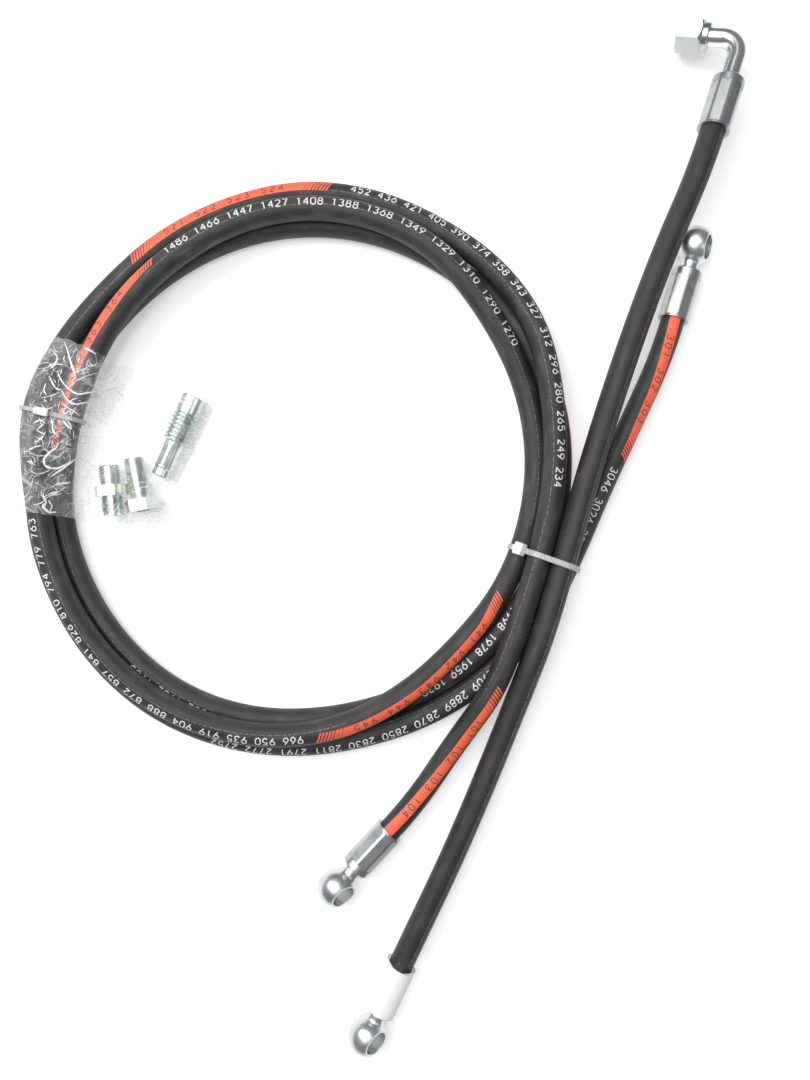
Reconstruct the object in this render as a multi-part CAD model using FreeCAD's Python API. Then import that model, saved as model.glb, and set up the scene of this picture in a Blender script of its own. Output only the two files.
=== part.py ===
import FreeCAD, Part
import os
import math

V = FreeCAD.Vector
os.makedirs("parts", exist_ok=True)

# ---------------------------------------------------------------------------
# Driving dimensions, millimetres
# ---------------------------------------------------------------------------
ORIGIN_X, ORIGIN_Y = -14.143, 2.176      # taken off every plan position; z = 0 is the ground

HOSE_A_R = 6.7                     # outside radius of the long hose
HOSE_B_R = 7.1                     # outside radius of the short hose
LINER_R, BRAID_R, COVER_R = 3.6, 4.6, 5.3     # inner radii of the three layers, hose A
LINER_B, BRAID_B, COVER_B = 3.6, 4.7, 5.6     # the same, hose B

BALL_R = 11.0                      # banjo ball
EYE_THICK = 15.0                   # across the two sealing faces
EYE_BORE_R = 6.65                  # for a 13 mm banjo bolt
NECK_R = 5.0
GROOVE_R = 4.2                     # the ferrule's end flange is pressed into it
STEM_ROOT_R, STEM_BARB_R = 3.2, 3.57
STEM_BORE_R = 2.0
FERRULE_START, FERRULE_END = 14.5, 44.0       # from the ball's centre
FERRULE_A_OUT, FERRULE_A_FLAT = 8.5, 8.1      # corner radius, inscribed radius of the crimp
FERRULE_B_OUT, FERRULE_B_FLAT = 8.95, 8.55
LABEL_R = 9.15

ELBOW_TUBE_R, ELBOW_BORE_R, ELBOW_BEND_R = 5.0, 2.5, 11.0
ELBOW_FERRULE_START, ELBOW_FERRULE_END = 24.0, 54.0
NUT_AF, NUT_START, NUT_END = 17.0, 17.6, 35.0
NUT_THREAD_R = 5.72                # quarter-inch pipe thread, tapping radius, plain bore
NUT_TURN = -9.0                    # rest position of the flats, degrees
NUT_RUN = 0.05                     # radial running clearance of the nut on the tube

BAG_IN, BAG_OUT = 0.35, 0.75       # film sleeve, offsets from the bundle
TIE_IN, TIE_OUT, TIE_WIDE = 0.2, 1.4, 3.3
BAG_TIE_IN, BAG_TIE_OUT, BAG_TIE_WIDE = 1.05, 2.15, 2.6
POUCH_HIGH, POUCH_WALL = 22.0, 0.5

RING_X, RING_Y = -61.0, 40.0       # centre of the coil
TIE_ANGLE = -19.7                  # where the bundle is tied, degrees round the coil
STATIONS = 48                      # sections of the coil's outer shape

# Centre lines as control points: the line touches each run half-way along it.
HOSE_A = [
    (-8.896, -167.856, 8.940), (5.567, -152.662, 7.957), (28.9, -117.8, 8.2), (51.3, -83.9, 20.1),
    (65.4, -44.3, 21.0), (77.7, -4.4, 20.3), (85.2, 36.9, 19.3), (84.2, 78.8, 20.1),
    (75.4, 120.1, 19.9), (53.5, 155.2, 11.6), (20.4, 181.0, 6.6), (-18.4, 197.7, 6.8),
    (-60.8, 202.4, 6.8), (-102.6, 192.7, 6.8), (-140.7, 173.3, 7.0), (-171.9, 144.8, 7.5),
    (-197.2, 111.2, 11.8), (-210.3, 72.1, 21.6), (-208.3, 30.0, 21.1), (-202.1, -11.5, 18.9),
    (-184.9, -49.9, 18.7), (-156.9, -81.5, 18.7), (-120.7, -103.0, 18.5), (-79.4, -112.0, 18.7),
    (-37.5, -107.3, 19.9), (0.1, -88.1, 19.9), (31.4, -60.9, 13.8), (58.1, -29.1, 8.2),
    (73.3, 10.3, 8.4), (77.4, 52.2, 7.4), (69.1, 93.6, 7.9), (48.6, 129.3, 16.5),
    (22.2, 161.9, 20.2), (-14.5, 183.0, 19.3), (-56.3, 189.3, 19.2), (-97.5, 180.3, 20.2),
    (-133.6, 158.6, 20.6), (-163.2, 128.7, 20.9), (-183.2, 91.9, 19.1), (-197.1, 52.9, 11.6),
    (-200.0, 11.0, 7.8), (-187.3, -29.4, 7.3), (-164.0, -64.4, 6.8), (-130.9, -90.6, 6.8),
    (-90.9, -104.3, 6.8), (-48.9, -105.0, 6.8), (-7.9, -95.9, 6.8), (30.1, -77.7, 7.2),
    (60.9, -49.0, 8.0), (81.4, -12.1, 8.5), (90.4, 29.0, 8.0), (89.5, 71.0, 7.2),
    (75.9, 111.0, 6.8), (48.4, 143.0, 6.8), (14.2, 167.5, 6.8), (-25.5, 181.7, 6.8),
    (-67.6, 183.7, 6.8), (-108.4, 173.4, 6.9), (-144.6, 152.0, 7.3), (-174.2, 122.1, 8.1),
    (-196.1, 86.4, 9.0), (-212.1, 47.4, 8.9), (-212.6, 5.1, 7.9), (-199.5, -34.9, 7.2),
    (-176.8, -70.3, 6.8), (-145.0, -97.9, 6.8), (-106.3, -114.6, 6.8), (-64.5, -119.9, 6.8),
    (-22.9, -114.3, 6.8), (16.7, -100.4, 6.9), (51.8, -77.1, 7.3), (79.4, -45.5, 8.1),
    (97.5, -7.6, 8.2), (113.6, 31.0, 8.6), (131.2, 68.9, 9.5), (148.741, 106.874, 8.917),
    (154.621, 127.023, 9.590),
]
HOSE_B = [
    (172.614, 229.490, 22.6), (165.644, 207.571, 22.6), (147.2, 165.2, 21.6), (130.9, 122.1, 21.2),
    (116.1, 78.5, 21.0), (102.5, 34.4, 21.1), (90.3, -10.0, 21.2), (77.6, -54.3, 21.3),
    (62.0, -97.4, 14.2), (45.4, -140.3, 11.0), (27.6, -182.7, 9.5), (7.843, -224.441, 8.853),
    (-2.220, -245.110, 9.590),
]
TAIL_P = HOSE_A[:6]                # from ferrule P to the tie
TAIL_Q_FROM = 69                   # from the coil to ferrule Q

# Fittings: centre, hose direction point and bore axis in plan with its slope
BANJOS = {
    "p": ((-39.20, -199.69, 11.0), (-8.90, -167.86, 8.94), (0.747, -0.664), 41.0),
    "q": ((166.94, 169.24, 11.0), (154.62, 127.02, 9.59), (0.958, -0.288), 30.0),
    "b": ((-21.47, -284.65, 11.0), (-2.22, -245.11, 9.59), (0.905, -0.425), 42.0),
}
ELBOW_CORNER = (188.98, 280.95, 22.6)
ELBOW_D2 = (-0.30307, -0.95297, 0.0)          # corner to ferrule
ELBOW_D1 = (-0.89262, 0.28388, -0.35021)      # corner to nut


# ---------------------------------------------------------------------------
# Helpers
# ---------------------------------------------------------------------------
def pt(p):
    return V(p[0] - ORIGIN_X, p[1] - ORIGIN_Y, p[2])


def save(name, shapes):
    if not isinstance(shapes, (list, tuple)):
        shapes = [shapes]
    solids = []
    for s in shapes:
        solids += s.Solids
    out = solids[0] if len(solids) == 1 else Part.makeCompound(solids)
    out.exportStep("parts/" + name + ".step")
    b = out.BoundBox
    print("%-20s solids %d valid %s vol %.1f  x %.1f..%.1f y %.1f..%.1f z %.2f..%.2f" % (
        name, len(solids), all(s.isValid() and s.isClosed() for s in solids), out.Volume,
        b.XMin, b.XMax, b.YMin, b.YMax, b.ZMin, b.ZMax))
    return out


def frame(origin, x, z):
    """Placement with local x along x and local z as near z as it can be."""
    x = V(x); x.normalize()
    z = z - x * z.dot(x); z.normalize()
    y = z.cross(x)
    m = FreeCAD.Matrix(x.x, y.x, z.x, origin.x, x.y, y.y, z.y, origin.y,
                       x.z, y.z, z.z, origin.z, 0, 0, 0, 1)
    return FreeCAD.Placement(m)


def put(shape, place):
    s = shape.copy()
    s.Placement = place.multiply(s.Placement)
    return s


def turned(profile, axis="x"):
    """Solid of revolution; profile is (along, radius) points, closed to the axis line."""
    if axis == "x":
        pts = [V(a, r, 0) for a, r in profile]
        ax = V(1, 0, 0)
    else:
        pts = [V(r, a, 0) for a, r in profile]
        ax = V(0, 1, 0)
    face = Part.Face(Part.makePolygon(pts + [pts[0]]))
    s = face.revolve(V(0, 0, 0), ax, 360)
    s = s if s.ShapeType == "Solid" else Part.Solid(s)
    if s.Volume < 0:
        s.reverse()
    return s


def ring(a0, a1, r0, r1, axis="x"):
    return turned([(a0, r0), (a1, r0), (a1, r1), (a0, r1)], axis)


def prism(n, inscribed, a0, a1, axis="x", turn=0.0):
    """Regular prism along the axis; turn 0 puts a flat square to local z."""
    rc = inscribed / math.cos(math.pi / n)
    pts = []
    for k in range(n):
        t = 2 * math.pi * (k + 0.5) / n + math.radians(turn)
        c, s = rc * math.sin(t), rc * math.cos(t)
        pts.append(V(a0, c, s) if axis == "x" else V(c, a0, s))
    face = Part.Face(Part.makePolygon(pts + [pts[0]]))
    d = V(a1 - a0, 0, 0) if axis == "x" else V(0, a1 - a0, 0)
    return face.extrude(d)


def barbed(x0, x1):
    """Stem profile points with saw-tooth barbs from x0 to x1."""
    pts = [(x0, STEM_ROOT_R)]
    n = 4
    step = (x1 - x0 - 4.0) / n
    for k in range(n):
        a = x0 + 2.0 + k * step
        pts += [(a, STEM_ROOT_R), (a + 0.3, STEM_BARB_R), (a + step * 0.75, STEM_ROOT_R)]
    pts += [(x1 - 1.0, STEM_ROOT_R), (x1, STEM_ROOT_R - 0.6)]
    return pts


# ---------------------------------------------------------------------------
# Centre line of a hose: smooth line through the run middles
# ---------------------------------------------------------------------------
def knots(n):
    return [0, 0, 0] + list(range(1, n - 2)) + [n - 2] * 3


def spline(ctrl, per=16):
    n = len(ctrl)
    kn = knots(n)
    out = []
    steps = (n - 2) * per
    for j in range(steps + 1):
        t = min(j * (n - 2) / float(steps), n - 2 - 1e-9)
        s = int(t)
        k = s + 2
        d = [V(*ctrl[s]), V(*ctrl[s + 1]), V(*ctrl[s + 2])]
        for r in (1, 2):
            for i in range(2, r - 1, -1):
                a0 = kn[i + k - 2]
                a1 = kn[i + 1 + k - r]
                w = (t - a0) / (a1 - a0)
                d[i] = d[i - 1] * (1 - w) + d[i] * w
        out.append(d[2])
    return out


def polar(line):
    """Angle round the coil (unwrapped, degrees) and radius of each point."""
    ang, rad = [], []
    for p in line:
        a = math.degrees(math.atan2(p.y - RING_Y, p.x - RING_X))
        if ang:
            while a < ang[-1] - 180:
                a += 360
            while a > ang[-1] + 180:
                a -= 360
        ang.append(a)
        rad.append(math.hypot(p.x - RING_X, p.y - RING_Y))
    return ang, rad


LINE_A = spline(HOSE_A)
LINE_B = spline(HOSE_B)
ANG_A, RAD_A = polar(LINE_A)
ANG_B, RAD_B = polar(LINE_B)


def crossing(line, ang, rad, phi):
    """Radius and height where the line passes the angle phi."""
    for k in range(len(line) - 1):
        a, b = ang[k], ang[k + 1]
        if (a - phi) * (b - phi) <= 0 and a != b:
            t = (phi - a) / (b - a)
            return (rad[k] * (1 - t) + rad[k + 1] * t, line[k].z * (1 - t) + line[k + 1].z * t)
    raise ValueError(phi)


def strand(phi):
    return crossing(LINE_A, ANG_A, RAD_A, phi)


def bundle(theta):
    """The three strands in one section of the coil, theta from -20 to 340."""
    c = [strand(theta), strand(theta + 360), strand(theta + 720)]
    if theta > 300:
        w = (theta - 300) / 40.0
        b = strand(-20.0)
        c[2] = (c[2][0] * (1 - w) + b[0] * w, c[2][1] * (1 - w) + b[1] * w)
    return [(r, z, HOSE_A_R) for r, z in c]


def hull_point(circles, t, off):
    u = (math.cos(t), math.sin(t))
    best = max(circles, key=lambda c: c[0] * u[0] + c[1] * u[1] + c[2])
    r = best[2] + off
    return (best[0] + r * u[0], max(best[1] + r * u[1], 0.0))


def ring_xyz(theta, rz):
    a = math.radians(theta)
    return pt((RING_X + rz[0] * math.cos(a), RING_Y + rz[0] * math.sin(a), rz[1]))


def skin_solid(loops, closed):
    """Solid from consecutive loops of points (same count); closed joins last to first."""
    faces = []

    def tri(a, b, c):
        if (b - a).cross(c - a).Length > 1e-6:
            faces.append(Part.Face(Part.makePolygon([a, b, c, a])))
    n, m = len(loops), len(loops[0])
    for i in range(n if closed else n - 1):
        p, q = loops[i], loops[(i + 1) % n]
        for k in range(m):
            k2 = (k + 1) % m
            tri(p[k], p[k2], q[k2])
            tri(p[k], q[k2], q[k])
    return faces, tri


def shell_solid(faces):
    sh = Part.Shell(faces)
    sh.sewShape()
    s = Part.Solid(sh)
    if s.Volume < 0:
        s.reverse()
    return s


# ---------------------------------------------------------------------------
# Hoses
# ---------------------------------------------------------------------------
def route_wire(points):
    """Straight runs joined by tangent arcs; returns the wire and its tightest radius."""
    pts = [pt(p) for p in points]
    edges, last, tight, total = [], pts[0], 1e9, 0.0
    for i in range(1, len(pts) - 1):
        u = pts[i] - pts[i - 1]; lu = u.Length; u.normalize()
        w = pts[i + 1] - pts[i]; lw = w.Length; w.normalize()
        turn = math.acos(max(-1.0, min(1.0, u.dot(w))))
        t = 0.45 * min(lu, lw)
        radius = t / math.tan(turn / 2)
        tight = min(tight, radius)
        a, b = pts[i] - u * t, pts[i] + w * t
        bis = w - u; bis.normalize()
        mid = pts[i] + bis * (radius / math.cos(turn / 2) - radius)
        edges.append(Part.LineSegment(last, a).toShape())
        edges.append(Part.Arc(a, mid, b).toShape())
        total += (a - last).Length + radius * turn
        last = b
    edges.append(Part.LineSegment(last, pts[-1]).toShape())
    total += (pts[-1] - last).Length
    return Part.Wire(edges), tight, total


def tube(name, points, radius):
    wire, tight, total = route_wire(points)
    start, direction = pt(points[0]), pt(points[1]) - pt(points[0])
    circle = Part.Wire([Part.Circle(start, direction, radius).toShape()])
    s = wire.makePipeShell([circle], True, False)
    if s.Volume < 0:
        s.reverse()
    print("cord %s: tightest radius %.1f, length %.1f, volume %.0f of %.0f" % (
        name, tight, total, s.Volume, math.pi * radius ** 2 * total))
    return s


def half(a, b):
    return tuple((a[k] + b[k]) / 2.0 for k in range(3))


tail_p = tube("hose_a_tail_p", TAIL_P + [half(HOSE_A[5], HOSE_A[6])], HOSE_A_R)
tail_q = tube("hose_a_tail_q", [half(HOSE_A[TAIL_Q_FROM], HOSE_A[TAIL_Q_FROM + 1])]
              + HOSE_A[TAIL_Q_FROM + 1:], HOSE_A_R)
hose_b = tube("hose_b", HOSE_B, HOSE_B_R)
save("hose_a_tail_p", tail_p)
save("hose_a_tail_q", tail_q)
save("hose_b", hose_b)

SIDES = 20
loops = []
for i in range(STATIONS):
    th = -20.0 + i * 360.0 / STATIONS
    cs = bundle(th)
    loops.append([ring_xyz(th, hull_point(cs, 2 * math.pi * k / SIDES + 0.01, 0.0)) for k in range(SIDES)])
faces, _ = skin_solid(loops, True)
coil = shell_solid(faces)
save("hose_a_coil", coil)
print("cord hose_a: line length %.1f, hose_b: %.1f" % (
    sum((LINE_A[i + 1] - LINE_A[i]).Length for i in range(len(LINE_A) - 1)),
    sum((LINE_B[i + 1] - LINE_B[i]).Length for i in range(len(LINE_B) - 1))))


def tightest(line):
    best = 1e9
    for i in range(8, len(line) - 8, 4):
        u, w = line[i] - line[i - 8], line[i + 8] - line[i]
        a = u.getAngle(w)
        if a > 1e-6:
            best = min(best, (u.Length + w.Length) / 2 / (2 * math.tan(a / 2)))
    return best


print("cord hose_a turns: tightest radius %.1f, hose_b %.1f" % (tightest(LINE_A), tightest(LINE_B)))


# ---------------------------------------------------------------------------
# Banjo fittings, ferrules and the hose ends inside them
# ---------------------------------------------------------------------------
def banjo():
    rf = 3.0
    xc = math.sqrt((BALL_R + rf) ** 2 - (NECK_R + rf) ** 2)
    tx, ty = xc * BALL_R / (BALL_R + rf), (NECK_R + rf) * BALL_R / (BALL_R + rf)
    a_mid = math.atan2(NECK_R + rf, xc)
    # arc of the ball from the back pole over the top to the fillet
    t_end = math.atan2(ty, tx)
    t_mid = (math.pi + t_end) / 2
    ball = Part.Arc(V(-BALL_R, 0, 0), V(BALL_R * math.cos(t_mid), BALL_R * math.sin(t_mid), 0), V(tx, ty, 0)).toShape()
    m = math.atan2(ty - (NECK_R + rf), tx - xc)
    m2 = (m + (-math.pi / 2)) / 2
    fil = Part.Arc(V(tx, ty, 0), V(xc + rf * math.cos(m2), NECK_R + rf + rf * math.sin(m2), 0), V(xc, NECK_R, 0)).toShape()
    x0 = FERRULE_START
    rest = [(xc, NECK_R), (x0, NECK_R), (x0, GROOVE_R), (x0 + 3.0, GROOVE_R), (x0 + 3.0, NECK_R), (x0 + 4.5, NECK_R)]
    rest += barbed(x0 + 4.5, FERRULE_END - 1.5)
    rest += [(FERRULE_END - 1.5, 0.0), (-BALL_R, 0.0)]
    poly = Part.makePolygon([V(a, r, 0) for a, r in rest])
    face = Part.Face(Part.Wire([ball, fil] + poly.Edges))
    s = face.revolve(V(0, 0, 0), V(1, 0, 0), 360)
    s = s if s.ShapeType == "Solid" else Part.Solid(s)
    h = EYE_THICK / 2
    s = s.common(Part.makeBox(80, 40, EYE_THICK, V(-20, -20, -h)))
    s = s.cut(Part.makeCylinder(EYE_BORE_R, 30, V(0, 0, -15), V(0, 0, 1)))
    for d in (1, -1):
        s = s.cut(Part.makeCone(EYE_BORE_R, EYE_BORE_R + 0.3, 0.3, V(0, 0, d * (h - 0.3)), V(0, 0, d)))
    s = s.cut(Part.makeCylinder(STEM_BORE_R, FERRULE_END, V(EYE_BORE_R - 1.0, 0, 0), V(1, 0, 0)))
    return s


TEETH = 4


def teeth_marks(x0, x1, r_out, deep=0.4):
    """Ring grooves the ferrule's teeth press into the cover."""
    out = []
    step = (x1 - x0) / (TEETH + 1.0)
    for k in range(TEETH):
        c = x0 + step * (k + 1)
        out.append((c - 1.3, c - 0.5, c + 0.5, c + 1.3))
    return out


def outer_profile(x0, x1, r_out):
    pts = [(x0, r_out)]
    for a, b, c, d in teeth_marks(x0, x1, r_out):
        pts += [(a, r_out), (b, r_out - 0.4), (c, r_out - 0.4), (d, r_out)]
    pts.append((x1, r_out))
    return pts


def ferrule(x0, x1, r_in, r_flat, r_out):
    hose_in = x0 + 5.5
    bore = [(x0, GROOVE_R), (x0 + 3.0, GROOVE_R), (x0 + 3.0, r_in)] + outer_profile(hose_in, x1, r_in)
    outer = [(x1, r_out + 0.1), (x1 - 0.3, r_out + 0.1), (x1 - 1.2, r_out), (x0 + 5.0, r_out), (x0 + 4.6, r_out),
             (x0 + 1.2, r_out), (x0, r_out - 1.2)]
    s = turned(bore + outer)
    # eight crimp flats between the shoulder band and the mouth lip
    cutter = ring(x0 + 5.0, x1 - 1.3, r_flat - 0.9, r_out + 2.0)
    cutter = cutter.cut(prism(8, r_flat, x0 + 4.0, x1))
    return s.cut(cutter)


def layers(x0, x1, r_liner, r_braid, r_cover, r_out):
    a = x0 + 5.5
    liner = ring(a, x1, r_liner, r_braid)
    braid = ring(a, x1, r_braid, r_cover)
    cover = turned([(a, r_cover)] + [(x1, r_cover)] + list(reversed(outer_profile(a, x1, r_out))))
    return liner, braid, cover


ends_a, ends_b = [[], [], []], [[], [], []]
banjo_shape = banjo()
for key in ("p", "q", "b"):
    ball, mouth, h, slope = BANJOS[key]
    o = pt(ball)
    x = pt(mouth) - o
    n = V(h[0] * math.cos(math.radians(slope)), h[1] * math.cos(math.radians(slope)), math.sin(math.radians(slope)))
    place = frame(o, x, n)
    save("banjo_" + key, put(banjo_shape, place))
    xx = V(x); xx.normalize()
    nn = n - xx * n.dot(xx); nn.normalize()
    print("banjo %s centre %s bore axis %s stem %s mouth %s" % (
        key, [round(v, 4) for v in o], [round(v, 6) for v in nn], [round(v, 6) for v in xx],
        [round(v, 4) for v in (o + xx * FERRULE_END)]))
    if key == "b":
        s = ferrule(FERRULE_START, FERRULE_END, HOSE_B_R, FERRULE_B_FLAT, FERRULE_B_OUT)
        ls = layers(FERRULE_START, FERRULE_END, LINER_B, BRAID_B, COVER_B, HOSE_B_R)
        for k in range(3):
            ends_b[k].append(put(ls[k], place))
        lab = ring(FERRULE_START + 1.3, FERRULE_END - 1.3, FERRULE_B_OUT, LABEL_R)
        save("label", put(lab, place))
    else:
        s = ferrule(FERRULE_START, FERRULE_END, HOSE_A_R, FERRULE_A_FLAT, FERRULE_A_OUT)
        ls = layers(FERRULE_START, FERRULE_END, LINER_R, BRAID_R, COVER_R, HOSE_A_R)
        for k in range(3):
            ends_a[k].append(put(ls[k], place))
    save("ferrule_" + key, put(s, place))

# ---------------------------------------------------------------------------
# Elbow, its ferrule and the swivel nut (local x to the hose, local y to the nut)
# ---------------------------------------------------------------------------
d1, d2 = V(*ELBOW_D1), V(*ELBOW_D2)
d1.normalize(); d2.normalize()
corner = pt(ELBOW_CORNER)
# local z = x cross y
elbow_place = frame(corner, d2, d2.cross(d1))


def elbow_rod(radius, x_end, y_end):
    r = ELBOW_BEND_R
    c = Part.Face(Part.Wire([Part.Circle(V(r, 0, 0), V(1, 0, 0), radius).toShape()]))
    bend = c.revolve(V(r, r, 0), V(0, 0, 1), -90)
    bend = bend if bend.ShapeType == "Solid" else Part.Solid(bend)
    a = Part.makeCylinder(radius, x_end - r, V(r, 0, 0), V(1, 0, 0))
    b = Part.makeCylinder(radius, y_end - r, V(0, r, 0), V(0, 1, 0))
    return a.fuse([bend, b]).removeSplitter()


x0, x1 = ELBOW_FERRULE_START, ELBOW_FERRULE_END
stem = [(x0 - 2.0, 0.0), (x0 - 2.0, ELBOW_TUBE_R), (x0, ELBOW_TUBE_R), (x0, GROOVE_R), (x0 + 3.0, GROOVE_R),
        (x0 + 3.0, NECK_R), (x0 + 4.5, NECK_R)] + barbed(x0 + 4.5, x1 - 1.5) + [(x1 - 1.5, 0.0)]
nose = [(20.0, 0.0), (20.0, ELBOW_TUBE_R), (21.8, ELBOW_TUBE_R), (21.8, 6.7), (25.5, 6.7), (25.5, 5.6), (29.0, 3.6), (29.0, 0.0)]
elbow = elbow_rod(ELBOW_TUBE_R, x0 - 1.0, 21.0).fuse([turned(stem), turned(nose, "y")])
elbow = elbow.cut(elbow_rod(ELBOW_BORE_R, x0 - 1.5, 30.0))
elbow = elbow.cut(Part.makeCylinder(STEM_BORE_R, 60, V(x0 - 3.0, 0, 0), V(1, 0, 0)))
save("elbow_insert", put(elbow, elbow_place))
save("ferrule_e", put(ferrule(x0, x1, HOSE_B_R, FERRULE_B_FLAT, FERRULE_B_OUT), elbow_place))
ls = layers(x0, x1, LINER_B, BRAID_B, COVER_B, HOSE_B_R)
for k in range(3):
    ends_b[k].append(put(ls[k], elbow_place))

n0, n1 = NUT_START, NUT_END
nut = turned([(n0, ELBOW_TUBE_R + NUT_RUN), (21.4, ELBOW_TUBE_R + NUT_RUN), (21.4, 7.0), (25.9, 7.0), (25.9, 6.2),
              (29.3, 6.2), (29.3, NUT_THREAD_R), (n1 - 0.7, NUT_THREAD_R), (n1, 6.5),
              (n1, 11.0), (21.6, 11.0), (21.6, 8.2), (21.0, 7.4), (n0 + 0.6, 7.4), (n0, 6.8)], "y")
hexa = prism(6, NUT_AF / 2.0, n0 - 1.0, n1 + 1.0, "y", NUT_TURN)
chamfer = turned([(n0 - 1.0, 0.0), (n0 - 1.0, 8.6), (21.6, 8.6), (22.9, 9.9), (n1 - 1.1, 9.9), (n1 + 0.1, 8.6),
                  (n1 + 0.1, 0.0)], "y")
nut = nut.common(hexa).common(chamfer)
save("swivel_nut", put(nut, elbow_place))
print("elbow corner %s d1 %s d2 %s mouth %s nut thread middle %s" % (
    [round(v, 4) for v in corner], [round(v, 6) for v in d1], [round(v, 6) for v in d2],
    [round(v, 4) for v in corner + d2 * x1], [round(v, 4) for v in corner + d1 * 31.8]))

for k, nm in enumerate(("liner", "braid", "cover")):
    save("hose_a_end_" + nm, ends_a[k])
    save("hose_b_end_" + nm, ends_b[k])


# ---------------------------------------------------------------------------
# Cable ties
# ---------------------------------------------------------------------------
def strap(circles, theta, off0, off1, wide, sides=36):
    """Closed band round the circles of one coil section."""
    a = math.radians(theta)
    t = V(-math.sin(a), math.cos(a), 0)

    def loop(off):
        return [ring_xyz(theta, hull_point(circles, 2 * math.pi * k / sides + 0.02, off)) - t * (wide / 2)
                for k in range(sides)]

    def prism_of(off):
        pts = []
        for p in loop(off):
            if not pts or (p - pts[-1]).Length > 1e-4:
                pts.append(p)
        return Part.Face(Part.makePolygon(pts + [pts[0]])).extrude(t * wide)
    return prism_of(off1).cut(prism_of(off0))


def block(theta, rz, along, size):
    """Box centred at rz in the section at theta, its long side along the direction `along`."""
    a = math.radians(theta)
    er, t = V(math.cos(a), math.sin(a), 0), V(-math.sin(a), math.cos(a), 0)
    u = er * along[0] + V(0, 0, 1) * along[1]; u.normalize()
    w = u.cross(t)
    m = FreeCAD.Matrix(u.x, t.x, w.x, 0, u.y, t.y, w.y, 0, u.z, t.z, w.z, 0, 0, 0, 0, 1)
    b = Part.makeBox(size[0], size[1], size[2], V(-size[0] / 2, -size[1] / 2, -size[2] / 2))
    b = b.makeChamfer(0.5, b.Edges)
    b.Placement = FreeCAD.Placement(m)
    b.translate(ring_xyz(theta, rz))
    return b


tb = TIE_ANGLE
a_, b_, c_, d_ = strand(tb + 360), strand(tb), strand(tb + 720), strand(tb + 1080)
B_ = crossing(LINE_B, ANG_B, RAD_B, tb)
print("tie section a %s b %s c %s d %s B %s" % tuple([tuple(round(v, 2) for v in q) for q in (a_, b_, c_, d_, B_)]))
tied = [(r, z, HOSE_A_R) for r, z in (a_, b_, c_, d_)] + [(B_[0], B_[1], HOSE_B_R)]
band = strap(tied, tb, TIE_IN, TIE_OUT, TIE_WIDE)
ab = (b_[0] - a_[0], b_[1] - a_[1])
ln = math.hypot(*ab)
nrm = (-ab[1] / ln, ab[0] / ln)
mid = ((a_[0] + b_[0]) / 2, (a_[1] + b_[1]) / 2)
reach = HOSE_A_R + TIE_IN + 0.05 + 2.3
head = block(tb, (mid[0] + nrm[0] * reach, mid[1] + nrm[1] * reach), ab, (6.6, 7.3, 4.6))
stub = block(tb, (mid[0] + nrm[0] * (reach - 0.6) - ab[0] / ln * 4.4, mid[1] + nrm[1] * (reach - 0.6) - ab[1] / ln * 4.4),
             ab, (4.0, TIE_WIDE, 1.4))
tie = band.fuse([head, stub])
save("cable_tie_coil", tie)
save_tie = tie

bt = -20.0 + 25 * 360.0 / STATIONS
cs = bundle(bt)
print("bag tie section", [(round(c[0], 1), round(c[1], 1)) for c in cs])
band2 = strap(cs, bt, BAG_TIE_IN, BAG_TIE_OUT, BAG_TIE_WIDE)
s1, s2 = cs[0], cs[1]
hi = (s1[0] - s2[0], s1[1] - s2[1])
ln = math.hypot(*hi)
nrm = (-hi[1] / ln, hi[0] / ln)
if nrm[1] < 0:
    nrm = (-nrm[0], -nrm[1])
mid = ((s1[0] + s2[0]) / 2 + hi[0] / ln * 5.0, (s1[1] + s2[1]) / 2 + hi[1] / ln * 5.0)
reach = HOSE_A_R + BAG_TIE_IN + 0.15 + 1.9
head2 = block(bt, (mid[0] + nrm[0] * reach, mid[1] + nrm[1] * reach), hi, (7.6, 4.6, 3.8))
save("cable_tie_bag", band2.fuse(head2))

# ---------------------------------------------------------------------------
# Bag: a film sleeve round the coil and a film pouch inside the ring
# ---------------------------------------------------------------------------
outer_loops, inner_loops = [], []
for i in range(23, 29):
    th = -20.0 + i * 360.0 / STATIONS
    cs = bundle(th)
    outer_loops.append([ring_xyz(th, hull_point(cs, 2 * math.pi * k / SIDES + 0.01, BAG_OUT)) for k in range(SIDES)])
    inner_loops.append([ring_xyz(th, hull_point(cs, 2 * math.pi * k / SIDES + 0.01, BAG_IN)) for k in range(SIDES)])


def plug(loops_):
    faces_, tri = skin_solid(loops_, False)
    for lp in (loops_[0], loops_[-1]):
        c = V(0, 0, 0)
        for p in lp:
            c = c + p
        c = c * (1.0 / len(lp))
        for k in range(len(lp)):
            tri(lp[k], lp[(k + 1) % len(lp)], c)
    return shell_solid(faces_)


# the inner plug runs a little past both ends so the sleeve comes out open
def stretched(loops_):
    first = [p + (p - q) * 0.02 for p, q in zip(loops_[0], loops_[1])]
    last = [p + (p - q) * 0.02 for p, q in zip(loops_[-1], loops_[-2])]
    return [first] + loops_ + [last]


sleeve = plug(outer_loops).cut(plug(stretched(inner_loops)))

outline = [(-159.5, 102.5), (-146.8, 96.7), (-108.9, 84.6), (-124.3, 53.0), (-130.3, 41.6), (-134.7, 32.2),
           (-139.9, 9.2), (-164.1, 10.0), (-178.0, 11.3)]
for a in (189.0, 184.0, 178.0, 172.0, 166.0, 160.0, 154.5):
    outline.append((RING_X + 122.6 * math.cos(math.radians(a)), RING_Y + 122.6 * math.sin(math.radians(a))))


def area(poly):
    return sum(poly[i][0] * poly[(i + 1) % len(poly)][1] - poly[(i + 1) % len(poly)][0] * poly[i][1]
               for i in range(len(poly))) / 2


if area(outline) < 0:
    outline.reverse()


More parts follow.
